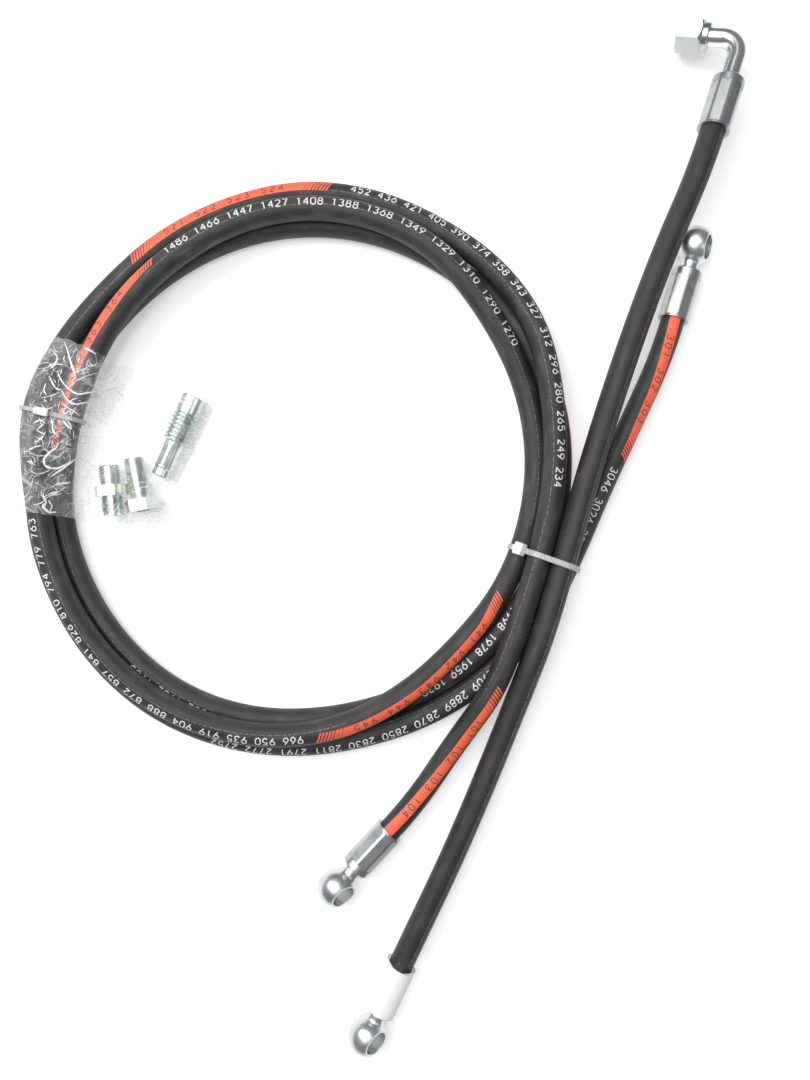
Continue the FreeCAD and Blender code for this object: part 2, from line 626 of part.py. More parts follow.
def inset(poly, d):
    """Counter-clockwise outline moved inwards by d."""
    out = []
    n = len(poly)
    for i in range(n):
        p, q, r = poly[i - 1], poly[i], poly[(i + 1) % n]
        e1 = (q[0] - p[0], q[1] - p[1]); l1 = math.hypot(*e1)
        e2 = (r[0] - q[0], r[1] - q[1]); l2 = math.hypot(*e2)
        n1 = (-e1[1] / l1, e1[0] / l1); n2 = (-e2[1] / l2, e2[0] / l2)
        k = 1 + n1[0] * n2[0] + n1[1] * n2[1]
        out.append((q[0] + (n1[0] + n2[0]) * d / k, q[1] + (n1[1] + n2[1]) * d / k))
    return out


def slab(poly, z0, z1):
    pts = [pt((x, y, z0)) for x, y in poly]
    return Part.Face(Part.makePolygon(pts + [pts[0]])).extrude(V(0, 0, z1 - z0))


pouch = slab(outline, 0.0, POUCH_HIGH).cut(slab(inset(outline, POUCH_WALL), POUCH_WALL, POUCH_HIGH - POUCH_WALL))
# the pouch is open towards the sleeve, where the film is gathered
mouth_box = Part.makeBox(8.0, 22.0, POUCH_HIGH - 6.0, V(-8.0, -11.0, 0))
mouth_box.Placement = frame(pt((RING_X + 122.6 * math.cos(math.radians(166)), RING_Y + 122.6 * math.sin(math.radians(166)), 3.0)),
                            V(-math.cos(math.radians(166)), -math.sin(math.radians(166)), 0), V(0, 0, 1))
mouth_box.translate(V(math.cos(math.radians(166)) * -1.0, math.sin(math.radians(166)) * -1.0, 0))
pouch = pouch.cut(mouth_box)
bag = save("bag", [sleeve, pouch])

# ---------------------------------------------------------------------------
# Adapters in the bag
# ---------------------------------------------------------------------------
def lying(shape, p0, p1, z):
    o = pt((p0[0], p0[1], z))
    x = pt((p1[0], p1[1], z)) - o
    return put(shape, frame(o, x, V(0, 0, 1)))


def thread(x0_, x1_, r_root, r_crest, pitch):
    pts = [(x0_, r_root)]
    n = int((x1_ - x0_) / pitch)
    for k in range(n):
        a = x0_ + k * pitch
        pts += [(a + 0.25 * pitch, r_root), (a + 0.45 * pitch, r_crest), (a + 0.8 * pitch, r_crest), (a + pitch, r_root)]
    pts.append((x1_, r_root))
    return pts


L = 50.0
prof = [(0, 3.2), (0, 6.4), (0.6, 7.0), (10.6, 7.0), (11.0, 6.6)] + thread(11.0, 28.7, 6.7, 8.25, 2.5) \
    + [(28.7, 5.9), (30.0, 5.8), (44.6, 5.8), (45.4, 5.0), (49.4, 5.25), (50.0, 4.7), (50.0, 2.2), (40.0, 2.2), (40.0, 3.2)]
long_ = turned(prof)
shank = ring(30.2, 44.4, 4.5, 7.5).cut(prism(8, 5.5, 30.0, 45.0))
long_ = long_.cut(shank)
long_s = save("adapter_long", lying(long_, (-121.6, 82.8), (-141.5, 36.9), 0.5 + 8.25 + 0.05))

L = 29.0
prof = [(0, 4.0), (0, 5.6)] + thread(0.6, 11.0, 5.45, 6.15, 1.5) + [(11.0, 5.2), (11.5, 5.2)] \
    + [(11.5, 10.4), (17.5, 10.4), (17.5, 5.4), (18.0, 5.4)] + thread(18.0, 28.4, 5.75, 6.5, 1.5) + [(29.0, 5.9), (29.0, 4.0)]
union = turned(prof)
union = union.cut(ring(11.0, 18.0, 8.0, 12.0).cut(prism(6, 8.5, 10.0, 19.0)))
union_s = save("adapter_union", lying(union, (-171.1, 42.8), (-168.2, 13.9), 0.5 + 8.5 + 0.05))

prof = [(0, 4.0), (0, 5.5)] + thread(0.6, 22.8, 5.35, 6.0, 1.5) + [(22.8, 5.0), (24.0, 5.0), (24.0, 9.6), (24.5, 10.4), (30.1, 10.4),
        (30.6, 9.6), (30.6, 4.0)]
stud = turned(prof)
stud = stud.cut(ring(23.5, 31.0, 8.0, 12.0).cut(prism(6, 8.5, 23.0, 32.0)))
stud_s = save("adapter_stud", lying(stud, (-156.9, 47.0), (-151.1, 16.8), 0.5 + 8.5 + 0.05))

# ---------------------------------------------------------------------------
# Overlaps worth knowing
# ---------------------------------------------------------------------------
pairs = [("long/union", long_s, union_s), ("long/stud", long_s, stud_s), ("union/stud", union_s, stud_s),
         ("bag/long", bag, long_s), ("bag/union", bag, union_s), ("bag/stud", bag, stud_s),
         ("sleeve/coil", sleeve, coil), ("pouch/coil", pouch, coil), ("tie/coil", tie, coil), ("tie/tail_p", tie, tail_p),
         ("tie/tail_q", tie, tail_q), ("tie/hose_b", tie, hose_b), ("hose_b/coil", hose_b, coil),
         ("hose_b/tail_q", hose_b, tail_q), ("hose_b/tail_p", hose_b, tail_p), ("tail_p/tail_q", tail_p, tail_q),
         ("tail_p/coil", tail_p, coil), ("tail_q/coil", tail_q, coil)]
for nm, s, t in pairs:
    v = s.common(t).Volume
    print("shared %s %.2f" % (nm, v))
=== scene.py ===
import math
import random

import bpy
import bmesh
import numpy as np
from mathutils import Matrix, Vector, noise


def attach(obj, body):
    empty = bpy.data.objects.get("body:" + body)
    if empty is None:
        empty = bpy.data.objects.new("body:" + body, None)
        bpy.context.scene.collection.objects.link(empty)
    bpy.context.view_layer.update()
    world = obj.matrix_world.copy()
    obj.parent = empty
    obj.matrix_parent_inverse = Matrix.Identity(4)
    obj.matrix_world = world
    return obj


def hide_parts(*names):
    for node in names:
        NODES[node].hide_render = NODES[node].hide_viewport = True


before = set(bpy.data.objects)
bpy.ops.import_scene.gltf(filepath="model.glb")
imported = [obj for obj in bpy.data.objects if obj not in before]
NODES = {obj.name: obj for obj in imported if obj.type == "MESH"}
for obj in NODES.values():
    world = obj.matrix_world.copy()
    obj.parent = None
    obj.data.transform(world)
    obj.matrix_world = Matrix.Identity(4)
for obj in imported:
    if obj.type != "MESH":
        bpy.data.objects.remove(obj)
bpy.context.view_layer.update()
random.seed(11)

# ---------------------------------------------------------------------------
# Row frame: plan positions are written from the point under the camera, in mm
# ---------------------------------------------------------------------------
OX, OY = -14.143, 2.176
RING_X, RING_Y = -61.0, 40.0
TIE_ANGLE = -19.7
HOSE_A_R, HOSE_B_R = 6.7, 7.1
CAM_HIGH = 460.0


def P(p):
    return Vector(((p[0] - OX) / 1000.0, (p[1] - OY) / 1000.0, p[2] / 1000.0))


# ---------------------------------------------------------------------------
# Camera: straight above, as in the photograph
# ---------------------------------------------------------------------------
cam_data = bpy.data.cameras.new("camera")
cam_data.sensor_fit = "VERTICAL"
cam_data.sensor_height = 36.0
cam_data.lens = 26.0
cam_data.clip_start = 0.01
cam_data.clip_end = 20.0
cam = bpy.data.objects.new("camera", cam_data)
cam.location = P((0.0, 0.0, CAM_HIGH))
cam.rotation_euler = (0.0, 0.0, 0.0)
bpy.context.scene.collection.objects.link(cam)
bpy.context.scene.camera = cam

# ---------------------------------------------------------------------------
# Cords: the same route points as the CAD model
# ---------------------------------------------------------------------------
HOSE_A = [
    (-8.896, -167.856, 8.940), (5.567, -152.662, 7.957), (28.9, -117.8, 8.2), (51.3, -83.9, 20.1),
    (65.4, -44.3, 21.0), (77.7, -4.4, 20.3), (85.2, 36.9, 19.3), (84.2, 78.8, 20.1),
    (75.4, 120.1, 19.9), (53.5, 155.2, 11.6), (20.4, 181.0, 6.6), (-18.4, 197.7, 6.8),
    (-60.8, 202.4, 6.8), (-102.6, 192.7, 6.8), (-140.7, 173.3, 7.0), (-171.9, 144.8, 7.5),
    (-197.2, 111.2, 11.8), (-210.3, 72.1, 21.6), (-208.3, 30.0, 21.1), (-202.1, -11.5, 18.9),
    (-184.9, -49.9, 18.7), (-156.9, -81.5, 18.7), (-120.7, -103.0, 18.5), (-79.4, -112.0, 18.7),
    (-37.5, -107.3, 19.9), (0.1, -88.1, 19.9), (31.4, -60.9, 13.8), (58.1, -29.1, 8.2),
    (73.3, 10.3, 8.4), (77.4, 52.2, 7.4), (69.1, 93.6, 7.9), (48.6, 129.3, 16.5),
    (22.2, 161.9, 20.2), (-14.5, 183.0, 19.3), (-56.3, 189.3, 19.2), (-97.5, 180.3, 20.2),
    (-133.6, 158.6, 20.6), (-163.2, 128.7, 20.9), (-183.2, 91.9, 19.1), (-197.1, 52.9, 11.6),
    (-200.0, 11.0, 7.8), (-187.3, -29.4, 7.3), (-164.0, -64.4, 6.8), (-130.9, -90.6, 6.8),
    (-90.9, -104.3, 6.8), (-48.9, -105.0, 6.8), (-7.9, -95.9, 6.8), (30.1, -77.7, 7.2),
    (60.9, -49.0, 8.0), (81.4, -12.1, 8.5), (90.4, 29.0, 8.0), (89.5, 71.0, 7.2),
    (75.9, 111.0, 6.8), (48.4, 143.0, 6.8), (14.2, 167.5, 6.8), (-25.5, 181.7, 6.8),
    (-67.6, 183.7, 6.8), (-108.4, 173.4, 6.9), (-144.6, 152.0, 7.3), (-174.2, 122.1, 8.1),
    (-196.1, 86.4, 9.0), (-212.1, 47.4, 8.9), (-212.6, 5.1, 7.9), (-199.5, -34.9, 7.2),
    (-176.8, -70.3, 6.8), (-145.0, -97.9, 6.8), (-106.3, -114.6, 6.8), (-64.5, -119.9, 6.8),
    (-22.9, -114.3, 6.8), (16.7, -100.4, 6.9), (51.8, -77.1, 7.3), (79.4, -45.5, 8.1),
    (97.5, -7.6, 8.2), (113.6, 31.0, 8.6), (131.2, 68.9, 9.5), (148.741, 106.874, 8.917),
    (154.621, 127.023, 9.590),
]
HOSE_B = [
    (172.614, 229.490, 22.6), (165.644, 207.571, 22.6), (147.2, 165.2, 21.6), (130.9, 122.1, 21.2),
    (116.1, 78.5, 21.0), (102.5, 34.4, 21.1), (90.3, -10.0, 21.2), (77.6, -54.3, 21.3),
    (62.0, -97.4, 14.2), (45.4, -140.3, 11.0), (27.6, -182.7, 9.5), (7.843, -224.441, 8.853),
    (-2.220, -245.110, 9.590),
]


def link(ob):
    bpy.context.scene.collection.objects.link(ob)
    return ob


def mesh_object(name, verts, faces, smooth=True, uvs=None):
    me = bpy.data.meshes.new(name)
    me.from_pydata([tuple(v) for v in verts], [], faces)
    if uvs is not None:
        layer = me.uv_layers.new(name="UVMap")
        for loop in me.loops:
            layer.data[loop.index].uv = uvs[loop.vertex_index]
    me.validate()
    me.update()
    for p in me.polygons:
        p.use_smooth = smooth
    return link(bpy.data.objects.new(name, me))


def route_line(points, name):
    cu = bpy.data.curves.new(name, "CURVE")
    cu.dimensions = "3D"
    cu.resolution_u = 12
    sp = cu.splines.new("NURBS")
    sp.points.add(len(points) - 1)
    for i, p in enumerate(points):
        sp.points[i].co = (*P(p), 1.0)
    sp.order_u = 3
    sp.use_endpoint_u = True
    ob = link(bpy.data.objects.new(name, cu))
    bpy.context.view_layer.update()
    me = bpy.data.meshes.new_from_object(ob)
    pts = np.array([v.co[:] for v in me.vertices])
    bpy.data.objects.remove(ob)
    bpy.data.curves.remove(cu)
    bpy.data.meshes.remove(me)
    return pts


class Line:
    """A hose's centre line with its length and a frame that faces up at the middle of the layout."""

    def __init__(self, pts, radius):
        self.p = pts
        self.r = radius / 1000.0
        d = np.linalg.norm(np.diff(pts, axis=0), axis=1)
        self.s = np.concatenate([[0.0], np.cumsum(d)])
        t = np.gradient(pts, axis=0)
        self.t = t / np.linalg.norm(t, axis=1)[:, None]
        up = np.array(P((0, 0, CAM_HIGH))) - pts
        n = up - self.t * (up * self.t).sum(1)[:, None]
        self.n = n / np.linalg.norm(n, axis=1)[:, None]
        self.b = np.cross(self.t, self.n)
        self.length = float(self.s[-1])

    def at(self, s, phi, lift=0.0):
        """Point on the surface: s metres along, phi radians round from the top towards the side b."""
        i = np.searchsorted(self.s, s) - 1
        i = int(min(max(i, 0), len(self.s) - 2))
        w = (s - self.s[i]) / (self.s[i + 1] - self.s[i])

        def mix(a):
            return a[i] * (1 - w) + a[i + 1] * w
        n, b = mix(self.n), mix(self.b)
        n = n / np.linalg.norm(n)
        b = b / np.linalg.norm(b)
        u = n * math.cos(phi) + b * math.sin(phi)
        return mix(self.p) + u * (self.r + lift)


def tube(name, line, sides=40, profile=None):
    verts, faces, uvs = [], [], []
    n = len(line.p)
    for i in range(n):
        for k in range(sides + 1):
            a = 2 * math.pi * k / sides
            r = line.r + (profile(a, line.s[i]) if profile else 0.0)
            u = line.n[i] * math.cos(a) + line.b[i] * math.sin(a)
            verts.append(line.p[i] + u * r)
            uvs.append((line.s[i], a * line.r))
    for i in range(n - 1):
        for k in range(sides):
            a = i * (sides + 1) + k
            faces.append((a, a + 1, a + sides + 2, a + sides + 1))
    ob = mesh_object(name, verts, faces, True, uvs)
    bm = bmesh.new()
    bm.from_mesh(ob.data)
    bmesh.ops.remove_doubles(bm, verts=bm.verts, dist=1e-7)
    bmesh.ops.recalc_face_normals(bm, faces=bm.faces)
    bm.to_mesh(ob.data)
    bm.free()
    return ob


line_a = Line(route_line(HOSE_A, "route_a"), HOSE_A_R)
line_b = Line(route_line(HOSE_B, "route_b"), HOSE_B_R)


def seam_step(a, s):
    """Hose B's cover has a lap along one side: the strip beyond it lies a little lower."""
    d = math.degrees(a) - 360.0 if a > math.pi else math.degrees(a)
    if d > -40.0 or d < -118.0:
        return 0.0
    if d > -44.0:
        return -0.00038 * (-40.0 - d) / 4.0
    return -0.00038 * min(1.0, (d + 118.0) / 40.0)


hose_a = tube("hose_a_tube", line_a, 40)
hose_b = tube("hose_b_tube", line_b, 72, seam_step)
for ob in (hose_a, hose_b):
    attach(ob, "assembly")
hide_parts("hose_a_coil", "hose_a_tail_p", "hose_a_tail_q")
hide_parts("hose_b")


# ---------------------------------------------------------------------------
# Materials
# ---------------------------------------------------------------------------
class Mat:
    def __init__(self, name):
        self.m = bpy.data.materials.new(name)
        self.m.use_nodes = True
        self.t = self.m.node_tree
        self.b = self.t.nodes["Principled BSDF"]
        self.x = -300

    def node(self, kind, **kw):
        n = self.t.nodes.new(kind)
        self.x -= 40
        n.location = (self.x, 0)
        for k, v in kw.items():
            if k in n.inputs:
                n.inputs[k].default_value = v
            else:
                setattr(n, k, v)
        return n

    def link(self, a, b):
        self.t.links.new(a, b)

    def coords(self, kind="Object", scale=(1, 1, 1)):
        tc = self.node("ShaderNodeTexCoord")
        mp = self.node("ShaderNodeMapping")
        mp.inputs["Scale"].default_value = scale
        self.link(tc.outputs[kind], mp.inputs["Vector"])
        return mp.outputs["Vector"]

    def noise(self, vec, scale, detail=4.0, rough=0.55, dist=0.0):
        n = self.node("ShaderNodeTexNoise")
        n.inputs["Scale"].default_value = scale
        n.inputs["Detail"].default_value = detail
        n.inputs["Roughness"].default_value = rough
        n.inputs["Distortion"].default_value = dist
        self.link(vec, n.inputs["Vector"])
        return n.outputs["Fac"]

    def ramp(self, fac, stops):
        r = self.node("ShaderNodeValToRGB")
        el = r.color_ramp.elements
        while len(el) < len(stops):
            el.new(0.5)
        for e, (pos, col) in zip(el, stops):
            e.position = pos
            e.color = (*col, 1.0) if len(col) == 3 else col
        self.link(fac, r.inputs["Fac"])
        return r.outputs["Color"]

    def rng(self, fac, a, b, c, d):
        r = self.node("ShaderNodeMapRange")
        r.inputs["From Min"].default_value = a
        r.inputs["From Max"].default_value = b
        r.inputs["To Min"].default_value = c
        r.inputs["To Max"].default_value = d
        self.link(fac, r.inputs["Value"])
        return r.outputs["Result"]

    def math(self, op, a, b=None):
        n = self.node("ShaderNodeMath", operation=op)
        for i, v in enumerate((a, b)):
            if v is None:
                continue
            if isinstance(v, (int, float)):
                n.inputs[i].default_value = v
            else:
                self.link(v, n.inputs[i])
        return n.outputs[0]

    def bump(self, height, strength, distance):
        n = self.node("ShaderNodeBump")
        n.inputs["Strength"].default_value = strength
        n.inputs["Distance"].default_value = distance
        self.link(height, n.inputs["Height"])
        self.link(n.outputs["Normal"], self.b.inputs["Normal"])

    def set(self, **kw):
        for k, v in kw.items():
            self.b.inputs[k.replace("_", " ")].default_value = v


def rubber(name, dark, light, speck):
    m = Mat(name)
    uv = m.coords("UV", (1000, 1000, 1))          # millimetres along and round the hose
    fine = m.noise(uv, 2.4, 6.0, 0.8)
    broad = m.noise(m.coords("UV", (60, 200, 1)), 1.0, 3.0, 0.5)
    mix = m.math("ADD", m.math("MULTIPLY", fine, 0.65), m.math("MULTIPLY", broad, 0.35))
    col = m.ramp(mix, [(0.32, dark), (0.52, light), (0.66, speck)])
    m.link(col, m.b.inputs["Base Color"])
    m.link(m.rng(fine, 0.3, 0.7, 0.60, 0.40), m.b.inputs["Roughness"])
    # fabric wrap print: fine crossing threads
    w1 = m.node("ShaderNodeTexWave", wave_type="BANDS", bands_direction="DIAGONAL")
    w1.inputs["Scale"].default_value = 1.1
    w1.inputs["Distortion"].default_value = 0.6
    m.link(m.coords("UV", (1000, 1000, 1)), w1.inputs["Vector"])
    w2 = m.node("ShaderNodeTexWave", wave_type="BANDS", bands_direction="DIAGONAL")
    w2.inputs["Scale"].default_value = 1.1
    w2.inputs["Distortion"].default_value = 0.6
    m.link(m.coords("UV", (1000, -1000, 1)), w2.inputs["Vector"])
    h = m.math("ADD", m.math("MULTIPLY", w1.outputs["Fac"], 0.3), m.math("MULTIPLY", w2.outputs["Fac"], 0.3))
    h = m.math("ADD", h, m.math("MULTIPLY", fine, 0.8))
    m.bump(h, 0.5, 0.00022)
    m.set(Metallic=0.0)
    m.b.inputs["Specular IOR Level"].default_value = 0.5
    return m.m


def zinc(name, tone=(0.62, 0.635, 0.625), cool=(0.50, 0.55, 0.575), warm=(0.62, 0.61, 0.54), rough=(0.2, 0.42), scratch=0.25):
    m = Mat(name)
    v = m.coords("Object", (1, 1, 1))
    big = m.noise(v, 90.0, 3.0, 0.5)
    fine = m.noise(v, 900.0, 5.0, 0.65)
    col = m.ramp(big, [(0.32, cool), (0.52, tone), (0.72, warm)])
    m.link(col, m.b.inputs["Base Color"])
    m.link(m.rng(m.math("ADD", m.math("MULTIPLY", fine, 0.6), m.math("MULTIPLY", big, 0.4)), 0.3, 0.7, rough[0], rough[1]),
           m.b.inputs["Roughness"])
    m.bump(fine, scratch, 0.00008)
    m.set(Metallic=1.0)
    return m.m


def plain(name, c1, c2, scale, rough, bump=0.0, spec=0.5, sub=0.0):
    m = Mat(name)
    n = m.noise(m.coords("Object"), scale, 4.0, 0.6)
    m.link(m.ramp(n, [(0.3, c1), (0.7, c2)]), m.b.inputs["Base Color"])
    m.link(m.rng(n, 0.3, 0.7, rough - 0.06, rough + 0.06), m.b.inputs["Roughness"])
    if bump:
        m.bump(n, bump, 0.0002)
    m.b.inputs["Specular IOR Level"].default_value = spec
    if sub:
        m.b.inputs["Subsurface Weight"].default_value = sub
        m.b.inputs["Subsurface Radius"].default_value = (0.002, 0.002, 0.0018)
    return m.m


def film_material(name):
    m = Mat(name)
    v = m.coords("UV", (1, 1, 1))
    # long thin creases from ridged noise, at three sizes; they raise the bump, and they raise the alpha so the white
    # film shows along them as painted highlight streaks
    def ridge(vec, scale, width, dist):
        n = m.noise(vec, scale, 2.0, 0.45, dist)
        d = m.math("ABSOLUTE", m.math("SUBTRACT", n, 0.5))
        return m.rng(d, 0.0, width, 1.0, 0.0)
    r1 = ridge(v, 26.0, 0.012, 1.2)
    r2 = ridge(v, 60.0, 0.022, 0.8)
    r3 = ridge(m.coords("UV", (1.0, 0.35, 1.0)), 150.0, 0.05, 0.6)
    patch = m.rng(m.noise(v, 34.0, 2.0, 0.5), 0.42, 0.58, 0.15, 1.0)
    crease_relief_and_glint = m.math("MAXIMUM", r1, m.math("MULTIPLY", r2, 0.8))
    crease_relief_and_glint = m.math("MAXIMUM", crease_relief_and_glint, m.math("MULTIPLY", r3, 0.35))
    crease_relief_and_glint = m.math("MULTIPLY", crease_relief_and_glint, patch)
    cloud = m.rng(m.noise(v, 45.0, 3.0, 0.6), 0.4, 0.7, 0.0, 0.16)
    # painted highlight: where the crease lines run, the alpha rises and the near-white base colour shows as light
    # streaks
    alpha = m.math("ADD", m.math("MULTIPLY", crease_relief_and_glint, 0.62), m.math("ADD", cloud, 0.08))
    m.link(alpha, m.b.inputs["Alpha"])
    tint = m.ramp(m.noise(v, 18.0, 2.0, 0.5), [(0.35, (0.93, 0.93, 0.96)), (0.65, (0.98, 0.98, 0.97))])
    m.link(tint, m.b.inputs["Base Color"])
    h = m.math("ADD", m.noise(v, 70.0, 5.0, 0.6, 1.0), m.math("MULTIPLY", crease_relief_and_glint, 0.6))
    m.bump(h, 0.8, 0.0012)
    m.set(Roughness=0.12)
    m.b.inputs["Specular IOR Level"].default_value = 0.9
    m.b.inputs["Coat Weight"].default_value = 0.3
    m.b.inputs["Coat Roughness"].default_value = 0.08
    return m.m


mat_hose_a = rubber("hose_a_rubber", (0.0125, 0.0118, 0.0113), (0.024, 0.0222, 0.0205), (0.115, 0.107, 0.098))
mat_hose_b = rubber("hose_b_rubber", (0.0135, 0.0126, 0.0116), (0.023, 0.0211, 0.0192), (0.082, 0.076, 0.069))
mat_zinc = zinc("zinc_steel", (0.52, 0.535, 0.525), (0.41, 0.455, 0.475), (0.52, 0.51, 0.45), (0.28, 0.42), 0.07)
mat_zinc_ball = zinc("zinc_steel_ball", (0.72, 0.735, 0.725), (0.60, 0.65, 0.675), (0.72, 0.71, 0.65), (0.28, 0.40), 0.08)
mat_zinc_bright = zinc("zinc_steel_smooth", (0.76, 0.775, 0.765), (0.64, 0.69, 0.715), (0.76, 0.75, 0.69), (0.18, 0.28), 0.05)
mat_zinc_nut = zinc("zinc_steel_nut", (0.53, 0.545, 0.535), (0.44, 0.485, 0.505), (0.54, 0.53, 0.47), (0.18, 0.28), 0.05)
mat_zinc_green = zinc("zinc_steel_greenish", (0.62, 0.67, 0.63), (0.50, 0.62, 0.60), (0.66, 0.69, 0.54), (0.14, 0.3), 0.08)
mat_orange = plain("print_orange", (0.80, 0.105, 0.045), (0.92, 0.16, 0.075), 900.0, 0.55, 0.3)
mat_white = plain("print_white", (0.62, 0.61, 0.60), (0.88, 0.87, 0.86), 1400.0, 0.6, 0.3)
mat_dark = plain("print_dark", (0.07, 0.035, 0.03), (0.13, 0.055, 0.045), 1200.0, 0.6, 0.2)
mat_seam = plain("seam_grey", (0.09, 0.087, 0.083), (0.36, 0.35, 0.34), 1500.0, 0.6, 0.2)
mat_nylon = plain("nylon_natural", (0.70, 0.705, 0.67), (0.80, 0.805, 0.78), 300.0, 0.42, 0.1, 0.5, 0.3)
mat_strap = plain("nylon_strap", (0.38, 0.385, 0.375), (0.52, 0.525, 0.52), 300.0, 0.36, 0.1, 0.5, 0.3)
mat_label = plain("label_paper", (0.84, 0.84, 0.845), (0.90, 0.90, 0.905), 240.0, 0.7, 0.25)
mat_liner = plain("liner_rubber", (0.016, 0.016, 0.016), (0.03, 0.03, 0.03), 500.0, 0.5, 0.3)
mat_braid = zinc("braid_wire", (0.72, 0.62, 0.40), (0.62, 0.55, 0.38), (0.80, 0.70, 0.45), (0.3, 0.5), 0.6)
mat_film = film_material("clear_film")


def paint(ob, mat):
    ob.data.materials.clear()
    ob.data.materials.append(mat)
    return ob


paint(hose_a, mat_hose_a)
paint(hose_b, mat_hose_b)
for n in ("ferrule_p", "ferrule_q", "ferrule_e", "ferrule_b"):
    paint(NODES[n], mat_zinc)
for n in ("banjo_p", "banjo_q", "banjo_b"):
    paint(NODES[n], mat_zinc_ball)
paint(NODES["elbow_insert"], mat_zinc_bright)
paint(NODES["swivel_nut"], mat_zinc_nut)
for n in ("adapter_long", "adapter_union", "adapter_stud"):
    paint(NODES[n], mat_zinc_green)
for n in ("hose_a_end_liner", "hose_b_end_liner"):
    paint(NODES[n], mat_liner)
for n in ("hose_a_end_braid", "hose_b_end_braid"):
    paint(NODES[n], mat_braid)
paint(NODES["hose_a_end_cover"], mat_liner)
paint(NODES["hose_b_end_cover"], mat_liner)


# ---------------------------------------------------------------------------
# Print on hose A: coloured bands with hatched ends, and plain length numbers
# ---------------------------------------------------------------------------
def lane(points):
    """Angle round the hose as a smooth function of the length along it; points are (mm, degrees)."""
    xs = [p[0] / 1000.0 for p in points]
    ys = [math.radians(p[1]) for p in points]
    return lambda s: float(np.interp(s, xs, ys))


class Ink:
    """Flat marks wrapped on a hose: (along, across) in mm goes to the surface."""

    def __init__(self, name, line, lift):
        self.name, self.line, self.lift = name, line, lift
        self.v, self.f = [], []

    def quad_grid(self, corners, ns, nw, where):
        """corners: four (s, w) points in order; where(s) gives the lane's angle. s in m, w in m."""
        base = len(self.v)
        (a, b, c, d) = corners
        for i in range(ns + 1):
            for j in range(nw + 1):
                u, t = i / ns, j / nw
                s = (a[0] * (1 - u) + b[0] * u) * (1 - t) + (d[0] * (1 - u) + c[0] * u) * t
                w = (a[1] * (1 - u) + b[1] * u) * (1 - t) + (d[1] * (1 - u) + c[1] * u) * t
                self.v.append(self.line.at(s, where(s) + w / self.line.r, self.lift))
        for i in range(ns):
            for j in range(nw):
                k = base + i * (nw + 1) + j
                self.f.append((k, k + 1, k + nw + 2, k + nw + 1))

    def stroke(self, pts, width, where, step=0.0007):
        """Ribbon through (s, w) points with mitred joints."""
        pts = [np.array(p) for p in pts]
        dense = [pts[0]]
        for p, q in zip(pts, pts[1:]):
            n = max(1, int(np.linalg.norm(q - p) / step))
            dense += [p + (q - p) * (k + 1) / n for k in range(n)]
        base = len(self.v)
        for i, p in enumerate(dense):
            if i == 0:
                d = dense[1] - p
            elif i == len(dense) - 1:
                d = p - dense[i - 1]
            else:
                e, g = p - dense[i - 1], dense[i + 1] - p
                d = e / np.linalg.norm(e) + g / np.linalg.norm(g)
            d = d / max(np.linalg.norm(d), 1e-9)
            nrm = np.array([-d[1], d[0]])
            for sgn in (-1, 1):
                q = p + nrm * (sgn * width / 2)
                self.v.append(self.line.at(q[0], where(q[0]) + q[1] / self.line.r, self.lift))
        for i in range(len(dense) - 1):
            k = base + 2 * i
            self.f.append((k, k + 1, k + 3, k + 2))

    def build(self, mat, parent):
        ob = mesh_object(self.name, self.v, self.f)
        paint(ob, mat)
        ob.parent = parent
        return ob


def arc(cx, cy, rx, ry, a0, a1, n=8):
    return [(cx + rx * math.cos(math.radians(a0 + (a1 - a0) * k / n)), cy + ry * math.sin(math.radians(a0 + (a1 - a0) * k / n)))
            for k in range(n + 1)]


# stroke figures in a box 0.62 wide and 1 high
DIGITS = {
    "0": [arc(0.31, 0.69, 0.31, 0.31, 0, 180) + arc(0.31, 0.31, 0.31, 0.31, 180, 360) + [(0.62, 0.69)]],
    "1": [[(0.14, 0.8), (0.36, 1.0), (0.36, 0.0)]],
    "2": [arc(0.31, 0.7, 0.3, 0.3, 160, -35) + [(0.0, 0.0), (0.62, 0.0)]],
    "3": [arc(0.29, 0.75, 0.28, 0.25, 150, -90) + arc(0.29, 0.26, 0.32, 0.26, 90, -150)],
    "4": [[(0.48, 0.0), (0.48, 1.0), (0.0, 0.3), (0.62, 0.3)]],
    "5": [[(0.58, 1.0), (0.1, 1.0), (0.06, 0.55)] + arc(0.3, 0.32, 0.31, 0.32, 130, -150)],
    "6": [[(0.5, 1.0), (0.1, 0.5)] + arc(0.31, 0.31, 0.31, 0.31, 150, -210)],
    "7": [[(0.0, 1.0), (0.62, 1.0), (0.2, 0.0)]],
    "8": [arc(0.31, 0.75, 0.26, 0.25, 270, -90, 14) + arc(0.31, 0.26, 0.31, 0.26, 90, -270, 14)],
    "9": [arc(0.31, 0.69, 0.31, 0.31, -30, 330, 14) + [(0.18, 0.0)]],
}


def figures(ink, text, s_start, where, high, width, pitch, w0=0.0):
    """Writes text so that it reads towards smaller s with its tops towards +w. Returns where it ends."""
    s = s_start
    for ch in text:
        if ch in DIGITS:
            for line in DIGITS[ch]:
                ink.stroke([(s - x * high, w0 + (y - 0.5) * high) for x, y in line], width, where)
        s -= pitch
    return s


